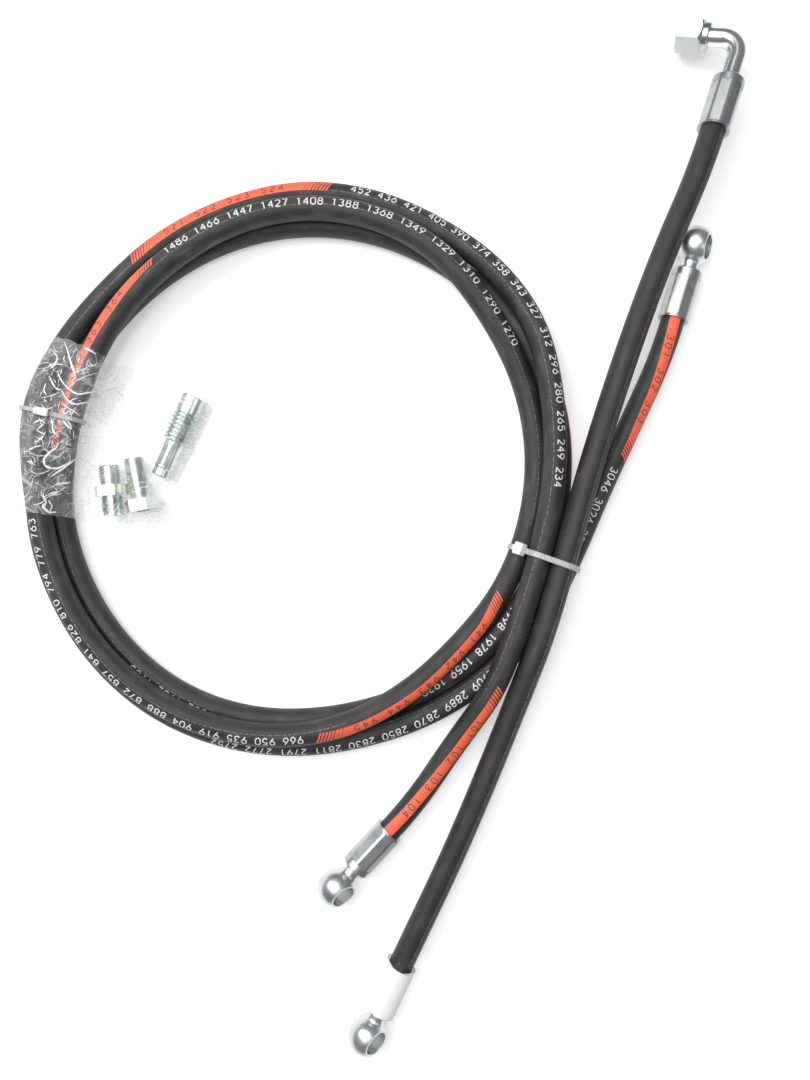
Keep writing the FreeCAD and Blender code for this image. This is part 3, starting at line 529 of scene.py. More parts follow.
def band(orange, dark, s0, s1, where, hatch0=True, hatch1=True, half=0.0031, text=100):
    lean = -0.0034
    a, b = s0 + (0.0105 if hatch0 else 0.0), s1 - (0.0105 if hatch1 else 0.0)
    l0, l1 = (lean if hatch0 else 0.0), (lean if hatch1 else 0.0)
    orange.quad_grid([(a - l0 / 2, -half), (b - l1 / 2, -half), (b + l1 / 2, half), (a + l0 / 2, half)],
                     max(2, int((b - a) / 0.002)), 8, where)
    for flag, at, sign in ((hatch0, a, -1), (hatch1, b, 1)):
        if not flag:
            continue
        for k in range(5):
            c = at + sign * (0.0005 + 0.0019 * k + 0.00075)
            wd = 0.00068 - 0.00004 * k
            orange.quad_grid([(c - wd - lean / 2, -half), (c + wd - lean / 2, -half), (c + wd + lean / 2, half), (c - wd + lean / 2, half)],
                             2, 8, where)
        for k in (1, 2):
            c = at - sign * 0.0021 * k
            dark.stroke([(c - lean / 2, -half), (c + lean / 2, half)], 0.00022, where)
    if text:
        pitch = 0.0050
        room = int((b - a - 0.012) / pitch)
        first = text
        text = str(first)
        while len(text) + 4 <= room:
            first += 1
            text += " " + str(first)
        n = len(text)
        figures(dark, text, (a + b) / 2 + pitch * n / 2, where, 0.0040, 0.00055, pitch)


orange = Ink("print_bands", line_a, 0.00003)
dark = Ink("print_band_figures", line_a, 0.00006)
white = Ink("print_figures", line_a, 0.00004)
grey = Ink("cover_seam_a", line_a, 0.00002)

LANE_ORANGE = {
    "O1": ([(0, 0), (26, 10), (60, 32), (112, 40)], -10, None, False, True),
    "O2": ([(467, 45), (481, 48), (522, 50), (562, 47), (583, 40)], 464, 588, True, True),
    "O4": ([(1497, 62), (1504, 60), (1528, 48), (1575, 55), (1604, 56)], 1494, 1612, True, True),
    "O3": ([(976, 36), (987, 40), (1036, 44), (1085, 33), (1103, 6)], 974, 1108, True, True),
    "O5": ([(2010, 150), (2135, 150)], 2008, 2136, True, True),
    "O6": ([(2510, 170), (2640, 170)], 2512, 2640, True, True),
    "O7": ([(3066, 46), (3095, 38), (3136, 10)], None, None, True, False),
}
BANDS = [
    ("O1", 0.0, 0.1075, False, True, 101),
    ("O2", 0.463, 0.588, True, True, 521),
    ("O3", 0.973, 1.107, True, True, 941),
    ("O4", 1.493, 1.614, True, True, 361),
    ("O5", 2.006, 2.136, True, True, 201),
    ("O6", 2.512, 2.640, True, True, 261),
    ("O7", 3.052, 3.1387, True, False, 301),
]
for key, s0, s1, h0, h1, text in BANDS:
    band(orange, dark, s0, s1, lane(LANE_ORANGE[key][0]), h0, h1, text=text)

# white figures: the length along the hose in millimetres, from the lower end
TEXT_LANES = [
    (0.212, 0.452, [(210, 17), (232, 28), (284, 42), (354, 36), (397, 47), (453, 47)]),
    (1.240, 1.486, [(1244, 42), (1289, 48), (1327, 44), (1404, 36), (1454, 46), (1489, 50)]),
    (0.744, 0.966, [(750, 44), (802, 50), (855, 52), (908, 45), (961, 30)]),
    (1.738, 1.998, [(1744, 46), (1785, 44), (1828, 48), (1880, 38), (1932, 11), (1989, -16)]),
    (2.262, 2.500, [(2262, 170), (2500, 170)]),
    (2.736, 3.046, [(2736, 52), (2798, 44), (2812, 44), (2854, 33), (2895, 6), (2985, -1), (3012, 10), (3040, 24)]),
]
for s0, s1, pts in TEXT_LANES:
    where = lane(pts)
    s = s1
    while s - 0.0125 > s0:
        label = "%d" % int(round(s * 1000))
        s = figures(white, label, s, where, 0.0043, 0.00062, 0.0040) - 0.0036

# the light edge line of the cover's wrap
SEAMS = [
    (0.206, 0.470, [(210, -8), (232, -6), (283, -5), (354, 1), (397, 20), (470, 22)]),
    (0.560, 0.990, [(560, 21), (589, 19), (750, 11), (802, 18), (855, 22), (961, -1), (990, -6)]),
    (1.150, 1.500, [(1150, 10), (1326, 26), (1404, 20), (1480, 24), (1500, 24)]),
    (1.620, 1.800, [(1620, 16), (1648, 16), (1696, 18), (1747, 20), (1800, 14)]),
    (2.200, 2.420, [(2200, 18), (2251, 20), (2314, 36), (2420, 30)]),
    (2.700, 3.060, [(2700, -18), (2850, -30), (2985, -34), (3060, -30)]),
    (0.090, 0.206, [(90, -30), (206, -12)]),
]
for s0, s1, pts in SEAMS:
    where = lane(pts)
    s = s0
    while s < s1:
        ln = random.uniform(0.0012, 0.0042)
        w = random.uniform(-0.00005, 0.00005)
        grey.stroke([(s, w), (s + ln, w)], random.uniform(0.00016, 0.0003), where, 0.0012)
        s += ln + random.uniform(0.0004, 0.0016)

p_orange = orange.build(mat_orange, hose_a)
p_dark = dark.build(mat_dark, hose_a)
p_white = white.build(mat_white, hose_a)
p_grey = grey.build(mat_seam, hose_a)

grey_b = Ink("cover_seam_b", line_b, 0.00004)
s = 0.0
while s < line_b.length - 0.003:
    ln = random.uniform(0.0012, 0.004)
    bright = 0.00022 if s < 0.25 else 0.00032
    grey_b.stroke([(s, 0.0), (min(s + ln, line_b.length), 0.0)], bright * random.uniform(0.7, 1.2),
                  lambda q: math.radians(-39.3), 0.0012)
    s += ln + random.uniform(0.0004, 0.0014)
p_grey_b = grey_b.build(mat_seam, hose_b)


# ---------------------------------------------------------------------------
# Sections of the coil, for what wraps round it
# ---------------------------------------------------------------------------
def angles(line):
    x = line.p[:, 0] * 1000 + OX - RING_X
    y = line.p[:, 1] * 1000 + OY - RING_Y
    return np.degrees(np.unwrap(np.arctan2(y, x))), np.hypot(x, y)


ANG_A, RAD_A = angles(line_a)
ANG_A = ANG_A - 360.0 * round((ANG_A[0] + 76.0) / 360.0)
ANG_B, RAD_B = angles(line_b)


def crossing(line, ang, rad, phi):
    for k in range(len(ang) - 1):
        a, b = ang[k], ang[k + 1]
        if (a - phi) * (b - phi) <= 0 and a != b:
            t = (phi - a) / (b - a)
            return (rad[k] * (1 - t) + rad[k + 1] * t, (line.p[k][2] * (1 - t) + line.p[k + 1][2] * t) * 1000)
    raise ValueError(phi)


def strand(phi):
    return crossing(line_a, ANG_A, RAD_A, phi)


def hull_point(circles, t, off):
    u = (math.cos(t), math.sin(t))
    best = max(circles, key=lambda c: c[0] * u[0] + c[1] * u[1] + c[2])
    r = best[2] + off
    return np.array([best[0] + r * u[0], best[1] + r * u[1]])


def hull_loop(circles, off, n):
    """n points evenly spaced along the outline round the circles."""
    dense = [hull_point(circles, 2 * math.pi * k / 720, off) for k in range(720)]
    dense.append(dense[0])
    d = np.array(dense)
    s = np.concatenate([[0], np.cumsum(np.linalg.norm(np.diff(d, axis=0), axis=1))])
    q = np.linspace(0, s[-1], n, endpoint=False)
    return np.stack([np.interp(q, s, d[:, 0]), np.interp(q, s, d[:, 1])], 1), s[-1]


def ring_xyz(theta, rz):
    a = math.radians(theta)
    return np.array(P((RING_X + rz[0] * math.cos(a), RING_Y + rz[0] * math.sin(a), rz[1])))


def strap(name, circles, theta, inner, outer, wide, rungs=True):
    """Rounded nylon strap with fine rungs, following the outline round the circles."""
    a = math.radians(theta)
    t = np.array([-math.sin(a), math.cos(a), 0.0]) / 1000.0
    loop, length = hull_loop(circles, 0.0, 260)
    nrm = []
    n = len(loop)
    for i in range(n):
        d = loop[(i + 1) % n] - loop[i - 1]
        d = d / np.linalg.norm(d)
        nrm.append(np.array([d[1], -d[0]]))
    w = wide / 2
    verts, faces = [], []
    for i in range(n):
        deep = 0.16 if (rungs and i % 4 < 2) else 0.0
        sec = [(-w, inner + 0.15), (-w, outer - 0.25), (-w + 0.3, outer), (-w + 0.75, outer), (-w + 0.8, outer - deep),
               (w - 0.8, outer - deep), (w - 0.75, outer), (w - 0.3, outer), (w, outer - 0.25), (w, inner + 0.15), (w - 0.25, inner), (-w + 0.25, inner)]
        for x, off in sec:
            q = loop[i] + nrm[i] * off
            q[1] = max(q[1], 0.02)
            verts.append(ring_xyz(theta, q) + t * x)
    m = 12
    for i in range(n):
        for k in range(m):
            a0, b0 = i * m + k, i * m + (k + 1) % m
            a1, b1 = ((i + 1) % n) * m + k, ((i + 1) % n) * m + (k + 1) % m
            faces.append((a0, b0, b1, a1))
    ob = mesh_object(name, verts, faces, False)
    bm = bmesh.new()
    bm.from_mesh(ob.data)
    bmesh.ops.recalc_face_normals(bm, faces=bm.faces)
    bm.to_mesh(ob.data)
    bm.free()
    return paint(ob, mat_strap)


def rounded_block(name, theta, rz, along, size, bevel, mat):
    """Bevelled box in the section at theta: size is along the strap, across it and thick."""
    a = math.radians(theta)
    er, t = Vector((math.cos(a), math.sin(a), 0)), Vector((-math.sin(a), math.cos(a), 0))
    u = (er * along[0] + Vector((0, 0, 1)) * along[1]).normalized()
    w = u.cross(t)
    bm = bmesh.new()
    bmesh.ops.create_cube(bm, size=1.0)
    bmesh.ops.scale(bm, vec=(size[0] / 1000, size[1] / 1000, size[2] / 1000), verts=bm.verts)
    bmesh.ops.bevel(bm, geom=list(bm.edges), offset=bevel / 1000, segments=3, profile=0.6, affect="EDGES")
    rot = Matrix((u, t, w)).transposed().to_4x4()
    bm.transform(Matrix.Translation(Vector(ring_xyz(theta, rz))) @ rot)
    me = bpy.data.meshes.new(name)
    bm.to_mesh(me)
    bm.free()
    ob = link(bpy.data.objects.new(name, me))
    return paint(ob, mat)


def join(name, obs):
    """Joins mesh objects into one new object and removes the originals."""
    bm = bmesh.new()
    mats = []
    for o in obs:
        off = len(mats)
        for m in o.data.materials:
            mats.append(m)
        tmp = bmesh.new()
        tmp.from_mesh(o.data)
        for f in tmp.faces:
            f.material_index += off
        me = bpy.data.meshes.new("tmp")
        tmp.to_mesh(me)
        tmp.free()
        bm.from_mesh(me)
        bpy.data.meshes.remove(me)
    me = bpy.data.meshes.new(name)
    bm.to_mesh(me)
    bm.free()
    for m in mats:
        me.materials.append(m)
    for o in obs:
        bpy.data.objects.remove(o)
    return link(bpy.data.objects.new(name, me))


A_, B1, C_, D_ = strand(TIE_ANGLE + 360), strand(TIE_ANGLE), strand(TIE_ANGLE + 720), strand(TIE_ANGLE + 1080)
HB = crossing(line_b, ANG_B, RAD_B, TIE_ANGLE)
tied = [(r, z, HOSE_A_R) for r, z in (A_, B1, C_, D_)] + [(HB[0], HB[1], HOSE_B_R)]
ab = np.array([B1[0] - A_[0], B1[1] - A_[1]])
ab /= np.linalg.norm(ab)
nn = np.array([-ab[1], ab[0]])
mid = np.array([(A_[0] + B1[0]) / 2, (A_[1] + B1[1]) / 2])
parts = [strap("tie_strap", tied, TIE_ANGLE, 0.2, 1.3, 3.2)]
reach = HOSE_A_R + 0.25 + 2.3
parts.append(rounded_block("tie_head", TIE_ANGLE, mid + nn * reach, ab, (6.4, 7.0, 4.5), 0.9, mat_nylon))
parts.append(rounded_block("tie_lip", TIE_ANGLE, mid + nn * (reach + 1.2) + ab * 2.4, ab, (2.2, 4.4, 2.4), 0.5, mat_nylon))
parts.append(rounded_block("tie_end", TIE_ANGLE, mid + nn * (reach - 0.6) - ab * 4.3, ab, (3.6, 3.2, 1.2), 0.3, mat_nylon))
tie_coil = join("tie_coil", parts)
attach(tie_coil, "assembly")
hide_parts("cable_tie_coil")

BAG_TIE = -20.0 + 25 * 7.5
cs = [(*strand(BAG_TIE), HOSE_A_R), (*strand(BAG_TIE + 360), HOSE_A_R), (*strand(BAG_TIE + 720), HOSE_A_R)]
hi = np.array([cs[0][0] - cs[1][0], cs[0][1] - cs[1][1]])
hi /= np.linalg.norm(hi)
nn2 = np.array([-hi[1], hi[0]])
if nn2[1] < 0:
    nn2 = -nn2
mid2 = np.array([(cs[0][0] + cs[1][0]) / 2, (cs[0][1] + cs[1][1]) / 2]) + hi * 5.0
parts = [strap("bag_tie_strap", cs, BAG_TIE, 1.1, 2.05, 2.5)]
parts.append(rounded_block("bag_tie_head", BAG_TIE, mid2 + nn2 * (HOSE_A_R + 3.05), hi, (7.4, 4.4, 3.6), 0.7, mat_nylon))
parts.append(rounded_block("bag_tie_lip", BAG_TIE, mid2 + nn2 * (HOSE_A_R + 4.0) + hi * 2.7, hi, (1.8, 3.0, 1.9), 0.4, mat_nylon))
tie_bag = join("tie_bag", parts)
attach(tie_bag, "assembly")
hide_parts("cable_tie_bag")

# ---------------------------------------------------------------------------
# Label round ferrule B
# ---------------------------------------------------------------------------
BALL_B, MOUTH_B = P((-21.47, -284.65, 11.0)), P((-2.2198, -245.1096, 9.59))
bx = (MOUTH_B - BALL_B).normalized()
bz = (Vector((0, 0, 1)) - bx * bx.z).normalized()
by = bz.cross(bx)


def label_wrap():
    verts, faces, uvs = [], [], []
    nu, nv = 120, 40
    for i in range(nu + 1):
        a = 2 * math.pi * i / nu * 1.04 - math.pi * 1.04      # laps itself by a few degrees
        for j in range(nv + 1):
            t = j / nv
            v_cut = 0.8 * math.exp(-((math.degrees(a) - 12.0) / 26.0) ** 2)      # notch at the mouth
            x0, x1 = 15.5, 44.5 - v_cut - 0.2 * math.sin(3 * a + 1.0)
            x = x0 + (x1 - x0) * t
            ripple = 0.05 * noise.noise(Vector((a * 2.0, x * 0.25, 3.0)))
            r = 8.98 + 0.05 * (0.5 + ripple * 8) + (0.1 if i > nu * 0.965 else 0.0)
            p = BALL_B + bx * (x / 1000) + (bz * math.cos(a) + by * math.sin(a)) * (r / 1000)
            verts.append(p)
            uvs.append((x / 1000, a * 0.009))
    for i in range(nu):
        for j in range(nv):
            k = i * (nv + 1) + j
            faces.append((k, k + 1, k + nv + 2, k + nv + 1))
    return mesh_object("label_wrap", verts, faces, True, uvs)


label = paint(label_wrap(), mat_label)
sol = label.modifiers.new("thick", "SOLIDIFY")
sol.thickness = 0.00008
sol.offset = 0.0
label.parent = hose_b
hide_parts("label")

# ---------------------------------------------------------------------------
# Clear bag: one flattened film tube round the coil's left side and the adapters
# ---------------------------------------------------------------------------
RIGHT = [(-139.5, 9.8), (-134.9, 32.2), (-130.5, 41.6), (-124.5, 53.0), (-109.6, 84.2)]     # lower to upper
ADAPTERS = [((-121.6, 82.8), (-141.5, 36.9), 7.6, 9.05), ((-171.1, 42.8), (-168.2, 13.9), 6.6, 9.05), ((-156.9, 47.0), (-151.1, 16.8), 6.2, 9.05)]
HEXES = [((-169.9, 28.1), 9.9), ((-151.7, 19.9), 9.9)]


def seg_dist(p, a, b):
    ax, ay = a
    dx, dy = b[0] - ax, b[1] - ay
    t = max(0.0, min(1.0, ((p[0] - ax) * dx + (p[1] - ay) * dy) / (dx * dx + dy * dy)))
    return math.hypot(p[0] - ax - dx * t, p[1] - ay - dy * t)


def drape(x, y):
    """Height of the film over the adapters, a soft tent."""
    z = 1.2
    for a, b, r, zc in ADAPTERS:
        d = seg_dist((x, y), a, b)
        top = zc + r + 1.0
        z = max(z, top * math.exp(-(d / (r * 1.75)) ** 4) if d > r * 0.6 else top)
    for (hx, hy), r in HEXES:
        d = math.hypot(x - hx, y - hy)
        z = max(z, 18.6 * math.exp(-(d / 14.0) ** 4))
    return z


def ridged(x, y, z, f):
    v = noise.noise(Vector((x * f, y * f, z * f)))
    return (1.0 - abs(v) * 2.2)


def bag_film():
    nv = 84
    n_in, n_hull = 60, 96
    verts, uvs = [], []
    cut = np.concatenate([[0], np.cumsum([math.dist(RIGHT[i], RIGHT[i + 1]) for i in range(len(RIGHT) - 1)])])
    rows = 0
    for j in range(nv + 1):
        v = j / nv
        th = 190.0 - 40.5 * v
        sect = [(*strand(th), HOSE_A_R), (*strand(th + 360), HOSE_A_R), (*strand(th + 720), HOSE_A_R)]
        # gathered at the tie
        pinch = math.exp(-((th - BAG_TIE) / 2.6) ** 2)
        er = (math.cos(math.radians(th)), math.sin(math.radians(th)))
        rr = v * cut[-1]
        R = (float(np.interp(rr, cut, [p[0] for p in RIGHT])), float(np.interp(rr, cut, [p[1] for p in RIGHT])))
        loop, _ = hull_loop(sect, 0.0, 480)
        # start and end of the wrap: on the inner side of the bundle
        top_i = min(range(480), key=lambda k: (loop[k][0] + 0.4 * abs(loop[k][1] - 13.0) if loop[k][1] > 9 else 999))
        low_i = min(range(480), key=lambda k: (loop[k][0] + 0.4 * abs(loop[k][1] - 2.0) if loop[k][1] < 5 else 999))
        L = (RING_X + (min(c[0] for c in sect) - HOSE_A_R - 1.0) * er[0], RING_Y + (min(c[0] for c in sect) - HOSE_A_R - 1.0) * er[1])
        prof = []
        for i in range(n_in):                       # top layer, right edge to the coil
            t = i / (n_in - 1)
            x, y = R[0] + (L[0] - R[0]) * t, R[1] + (L[1] - R[1]) * t
            z = drape(x, y)
            rise = max(0.0, (t - 0.8) / 0.2)
            z = z * (1 - rise) + 12.0 * rise * rise + z * rise * (1 - rise)
            c = ridged(x, y, 0.0, 0.07) * 1.0 + ridged(x, y, 5.0, 0.17) * 0.6
            z += 0.7 * c * min(1.0, z / 3.0)
            edge = min(1.0, t / 0.03)
            prof.append((x, y, max(0.35, z * edge)))
        # over, round and under the bundle
        order = []
        k = top_i
        # hull_loop runs counter-clockwise in (radius, height): from the inner side over the top means going down in index
        while k % 480 != low_i % 480:
            order.append(k % 480)
            k -= 1
            if len(order) > 520:
                break
        sel = [order[int(round(i * (len(order) - 1) / (n_hull - 1)))] for i in range(n_hull)]
        for m, idx in enumerate(sel):
            q = loop[idx]
            d = loop[(idx + 1) % 480] - loop[idx - 1]
            d = d / max(np.linalg.norm(d), 1e-9)
            nr = np.array([d[1], -d[0]])
            x, y, z = RING_X + q[0] * er[0], RING_Y + q[0] * er[1], q[1]
            c = max(0.0, ridged(x, y, z, 0.11)) * 1.5 + max(0.0, ridged(x + 30, y, z, 0.27)) * 0.8
            loose = 1.0 if z > 3 else 0.2
            off = 0.45 + (0.35 + c) * (1 - 0.92 * pinch) * loose
            q2 = q + nr * off
            prof.append((RING_X + q2[0] * er[0], RING_Y + q2[0] * er[1], max(0.25, q2[1])))
        for i in range(n_in):                       # under layer, back to the right edge
            t = 1 - i / (n_in - 1)
            x, y = R[0] + (L[0] - R[0]) * t, R[1] + (L[1] - R[1]) * t
            prof.append((x, y, 0.12 + 0.1 * abs(noise.noise(Vector((x * 0.1, y * 0.1, 2.0))))))
        rows = len(prof)
        s = 0.0
        last = prof[0]
        # the open ends wave in and out a little
        wave = 0.0
        for p in prof:
            s += math.dist(p, last)
            last = p
            if j in (0, nv):
                wave = 1.1 * noise.noise(Vector((p[0] * 0.09, p[1] * 0.09, p[2] * 0.3)))
            r_here = math.hypot(p[0] - RING_X, p[1] - RING_Y)
            k_out = max(0.0, min(1.0, (r_here - 128.0) / 27.0))
            k_in = max(0.0, min(1.0, (r_here - 85.0) / 43.0))
            skew = (1 - v) ** 3 * (6.0 * k_in - 9.0 * k_out) + v ** 3 * 4.0 * k_out
            tdir = (-er[1] * (wave + skew), er[0] * (wave + skew))
            verts.append(P((p[0] + tdir[0], p[1] + tdir[1], p[2])))
            uvs.append((s / 1000.0, v * 0.105))
    faces = []
    for j in range(nv):
        for i in range(rows):
            a, b = j * rows + i, j * rows + (i + 1) % rows
            if i == rows - 1:
                continue
            faces.append((a, b, b + rows, a + rows))
    ob = mesh_object("bag_film", verts, faces, True, uvs)
    return ob


bag = paint(bag_film(), mat_film)
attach(bag, "assembly")
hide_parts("bag")
me_area = sum(p.area for p in bag.data.polygons)
print("bag film area m2", me_area)

# painted highlights: white strips laid where the film's creases catch the light, as (x, y) plan paths with their
# widest width, mm
PX = 460.0 / 780.0


def plan(px, py, z=20.0):
    k = (CAM_HIGH - z) / 780.0
    return ((px - 405.0) * k, (540.0 - py) * k)


CREASE_HIGHLIGHTS = [
    ([(64.5, 342), (68, 352), (71, 363), (74.5, 373), (75, 378)], 1.0),
    ([(49, 376), (53, 384), (57, 389), (61, 389.5)], 0.9),
    ([(57.5, 373), (62.5, 382), (69, 389), (78, 394), (90, 392.5), (97, 392)], 1.1),
    ([(61.7, 390), (66, 398.5), (74.5, 404), (87, 402.5), (95, 404)], 1.0),
    ([(84, 347.5), (90, 350.5), (96, 354)], 1.2),
    ([(58.5, 442), (56, 448), (48.5, 453.5), (44, 460), (46, 466), (56, 468.5), (66, 464.5), (76.5, 458.5)], 1.3),
    ([(76, 459), (68, 465), (58, 472), (50, 477)], 1.0),
    ([(28, 450), (35, 447), (41.5, 445.5)], 1.0),
    ([(54.7, 417), (52.6, 424), (53.5, 432), (58.8, 436.5)], 0.8),
    ([(61, 416), (66, 424), (69.5, 428), (62, 421)], 0.9),
    ([(42, 495), (46, 502), (43.5, 506.5), (49, 512), (56, 512)], 1.6),
    ([(44, 497), (52, 493), (59, 492)], 1.0),
    ([(33, 424), (40, 420), (45, 423)], 0.9),
    ([(45, 423), (38, 429), (37, 431)], 0.8),
    ([(36, 430), (44, 434)], 0.9),
    ([(45, 434), (38, 441), (36, 444)], 0.7),
    ([(29, 452), (38, 456), (46, 455)], 0.6),
    ([(50, 488), (58, 484), (68, 483), (70, 481)], 0.8),
    ([(73, 383), (84, 377), (97, 373)], 0.5),
    ([(48, 366), (56, 364), (63, 365)], 0.5),
    ([(41, 398), (50, 396), (60, 392)], 0.5),
    ([(62, 403), (68, 408), (75, 412), (80, 416)], 0.8),
    ([(67, 405), (72, 400), (78, 398)], 0.6),
    ([(62, 408), (65, 414), (69, 411), (72, 417)], 0.9),
    ([(66, 420), (70, 424), (71, 429), (67, 426)], 0.8),
    ([(39, 417), (42, 426)], 0.5),
    ([(34, 436), (42, 440), (43, 446)], 0.5),
    ([(46, 383), (44, 390), (47, 396)], 0.7),
    ([(41, 404), (46, 409), (53, 407)], 0.6),
    ([(88, 360), (93, 366), (97, 363)], 0.6),
    ([(30, 470), (37, 474), (46, 472), (52, 468)], 0.5),
    ([(48, 500), (52, 506), (50, 511)], 0.8),
    ([(33, 505), (41, 503), (48, 497), (57, 493), (66, 487)], 0.6),
    ([(70, 374), (80, 371), (90, 366), (98, 366)], 0.4),
    ([(52, 350), (57, 357), (55, 366)], 0.5),
    ([(79, 428), (83, 438), (81, 452)], 0.6),
]


# more short painted highlight streaks, scattered over the film on the coil and lined up more closely near the bag tie
rnd = random.Random(5)
for _ in range(150):
    th = rnd.uniform(151.5, 187.5)
    rad = rnd.uniform(127.0, 154.0)
    a = math.radians(th)
    x, y = RING_X + rad * math.cos(a), RING_Y + rad * math.sin(a)
    near = math.exp(-((th - (-20.0 + 25 * 7.5)) / 7.0) ** 2)
    head = a + math.pi / 2 + math.radians(rnd.gauss(0.0, 24.0 + 30.0 * (1 - near)))
    ln = rnd.uniform(1.2, 5.5)
    bow = rnd.uniform(-0.25, 0.25) * ln
    path = []
    for t in (-0.5, 0.0, 0.5):
        off = bow * (1 - 4 * t * t)
        gx = x + math.cos(head) * ln * t - math.sin(head) * off
        gy = y + math.sin(head) * ln * t + math.cos(head) * off
        path.append((405.0 + gx * 780.0 / (CAM_HIGH - 20.0), 540.0 - gy * 780.0 / (CAM_HIGH - 20.0)))
    CREASE_HIGHLIGHTS.append((path, rnd.uniform(0.18, 0.5)))


def crease_strips():
    """Narrow pointed white ribbons pressed onto the film from above: painted highlights along its creases."""
    bm = bmesh.new()
    bm.from_mesh(bag.data)
    from mathutils.bvhtree import BVHTree
    tree = BVHTree.FromBMesh(bm)
    bm.free()
    eye = P((0.0, 0.0, CAM_HIGH))
    verts, faces = [], []
    for pts, wide in CREASE_HIGHLIGHTS:
        flat = [Vector((*plan(*p), 0.0)) for p in pts]
        line = []
        m = len(flat)
        for i in range(m - 1):
            p0, p1, p2, p3 = flat[max(i - 1, 0)], flat[i], flat[i + 1], flat[min(i + 2, m - 1)]
            for k in range(8):
                t = k / 8.0
                line.append(0.5 * ((2 * p1) + (p2 - p0) * t + (2 * p0 - 5 * p1 + 4 * p2 - p3) * t * t
                                   + (3 * p1 - p0 - 3 * p2 + p3) * t ** 3))
        line.append(flat[-1])
        n = len(line)
        for i, c in enumerate(line):
            d = (line[min(i + 1, n - 1)] - line[max(i - 1, 0)]).normalized()
            side = Vector((-d.y, d.x, 0.0))
            t = i / (n - 1)
            half = 0.62 * wide * (math.sin(math.pi * min(1.0, max(0.0, t * 0.94 + 0.03))) ** 0.6) * (0.75 + 0.4 * noise.noise(Vector((c.x * 0.35, c.y * 0.35, 1.0))))
            for q in (-1, 0, 1):
                g = c + side * (q * max(half, 0.06))
                aim = P((g.x, g.y, 20.0))
                hit = tree.ray_cast(eye, (aim - eye).normalized())
                p = hit[0] if hit[0] is not None else aim
                lift = 0.00012 + (0.00018 if q == 0 else 0.0)
                verts.append(p + (eye - p).normalized() * lift)
            if i:
                k = len(verts) - 6
                faces.append((k, k + 1, k + 4, k + 3))
                faces.append((k + 1, k + 2, k + 5, k + 4))
    return mesh_object("film_creases", verts, faces, True)


# near-white and glossy: the colour of the painted crease highlights
mat_crease_highlight = plain("film_crease_highlight", (0.90, 0.90, 0.93), (0.98, 0.98, 0.99), 700.0, 0.25, 0.4, 0.9)
crease_highlights = paint(crease_strips(), mat_crease_highlight)
crease_highlights.parent = bag

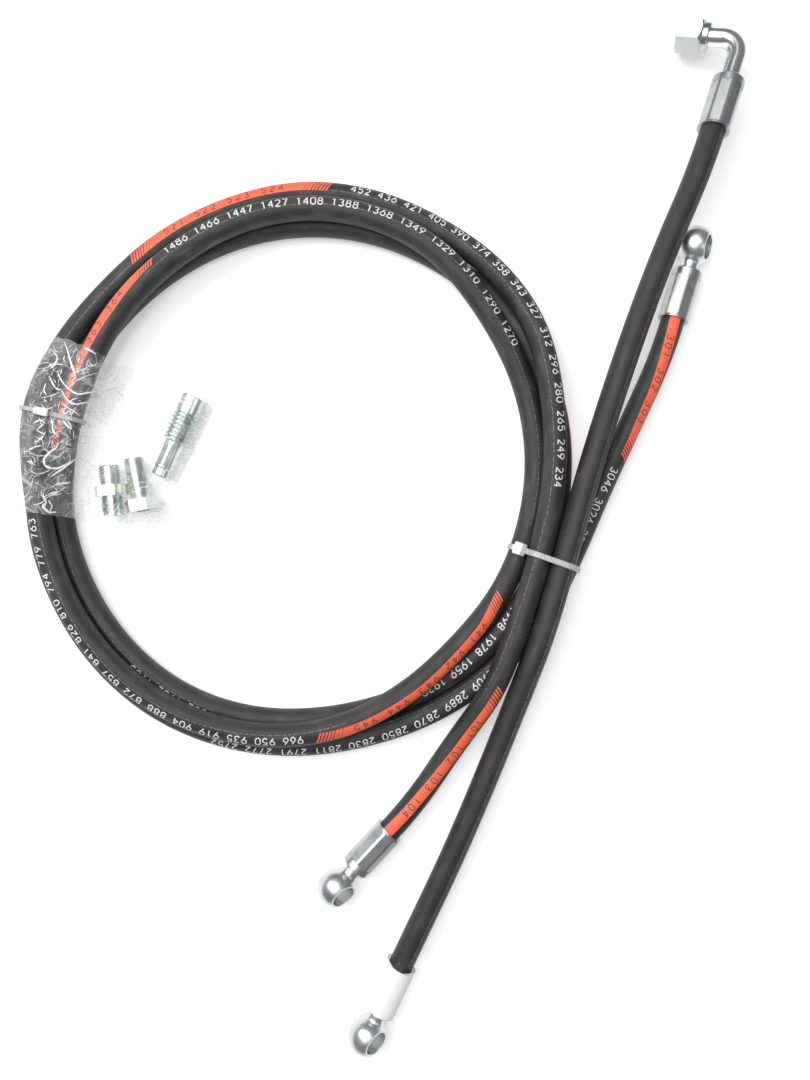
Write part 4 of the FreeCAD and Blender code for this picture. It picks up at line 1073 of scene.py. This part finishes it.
# ---------------------------------------------------------------------------
# Long adapter: turned body, coarse V rings, octagonal shank, collar
# ---------------------------------------------------------------------------
def turned_adapter():
    prof = [(0.0, 2.2), (0.0, 6.2), (0.25, 6.7), (0.7, 6.98), (10.3, 6.98), (10.7, 6.85), (11.0, 6.35)]
    for k in range(7):
        a = 11.0 + k * 2.5
        prof += [(a + 0.2, 6.3), (a + 1.15, 8.1), (a + 1.3, 8.2), (a + 1.45, 8.2), (a + 1.6, 8.1), (a + 2.5, 6.35)]
    prof += [(28.7, 5.85), (30.0, 5.78), (30.2, 5.7), (31.4, 5.7), (43.4, 5.7), (44.4, 5.7), (44.6, 5.78), (45.4, 5.0), (46.0, 5.0),
             (49.2, 5.22), (49.7, 5.1), (50.0, 4.65), (50.0, 2.3), (30.0, 2.3), (12.0, 2.3)]
    lo, hi = Vector(P((-121.6, 82.8, 9.05))), Vector(P((-141.5, 36.9, 9.05)))
    x = (hi - lo).normalized()
    z = Vector((0, 0, 1))
    y = z.cross(x)
    sides = 128
    verts, faces = [], []
    for a, r in prof:
        for k in range(sides):
            t = 2 * math.pi * k / sides
            q = r
            if 30.3 < a < 44.3 and r > 4:
                q = min(r, 5.48 / math.cos((t % (math.pi / 4)) - math.pi / 8))
            verts.append(lo + x * (a / 1000) + (z * math.cos(t) + y * math.sin(t)) * (q / 1000))
    m = len(prof)
    for i in range(m):
        for k in range(sides):
            a, b = i * sides + k, i * sides + (k + 1) % sides
            c, d = ((i + 1) % m) * sides + (k + 1) % sides, ((i + 1) % m) * sides + k
            faces.append((a, b, c, d))
    ob = mesh_object("adapter_long_body", verts, faces, False)
    bm = bmesh.new()
    bm.from_mesh(ob.data)
    bmesh.ops.recalc_face_normals(bm, faces=bm.faces)
    bm.to_mesh(ob.data)
    bm.free()
    return ob


adapter = paint(turned_adapter(), mat_zinc_green)
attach(adapter, "assembly")
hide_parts("adapter_long")

# ---------------------------------------------------------------------------
# Floor and light
# ---------------------------------------------------------------------------
fm = Mat("floor_white")
fm.b.inputs["Base Color"].default_value = (0.74, 0.74, 0.74, 1)
fm.b.inputs["Emission Color"].default_value = (1.0, 1.0, 1.0, 1)
fm.b.inputs["Emission Strength"].default_value = 0.42
fm.b.inputs["Roughness"].default_value = 0.8
fm.b.inputs["Specular IOR Level"].default_value = 0.1
floor = mesh_object("floor", [(-3, -3, -0.0003), (3, -3, -0.0003), (3, 3, -0.0003), (-3, 3, -0.0003)], [(0, 1, 2, 3)], False)
paint(floor, fm.m)

world = bpy.data.worlds.new("studio")
bpy.context.scene.world = world
world.use_nodes = True
bg = world.node_tree.nodes["Background"]
bg.inputs["Color"].default_value = (0.93, 0.95, 1.0, 1)
bg.inputs["Strength"].default_value = 0.24


def area(name, loc, size, power, color=(1, 1, 1)):
    d = bpy.data.lights.new(name, "AREA")
    d.shape = "RECTANGLE"
    d.size, d.size_y = size
    d.energy = power
    d.color = color
    o = link(bpy.data.objects.new(name, d))
    o.location = loc
    aim = Vector((0.0, 0.0, 0.0)) - Vector(loc)
    o.rotation_euler = aim.to_track_quat("-Z", "Y").to_euler()
    return o


area("key", (-0.85, 0.55, 1.15), (0.6, 0.6), 11.0)
area("top", (-0.35, 0.45, 1.7), (1.7, 1.7), 19.0)
area("flash", (-0.10, 0.07, 0.62), (0.14, 0.14), 0.8)
area("fill", (0.9, -0.3, 1.1), (0.3, 0.7), 1.2)

bpy.context.scene.view_settings.view_transform = "Standard"
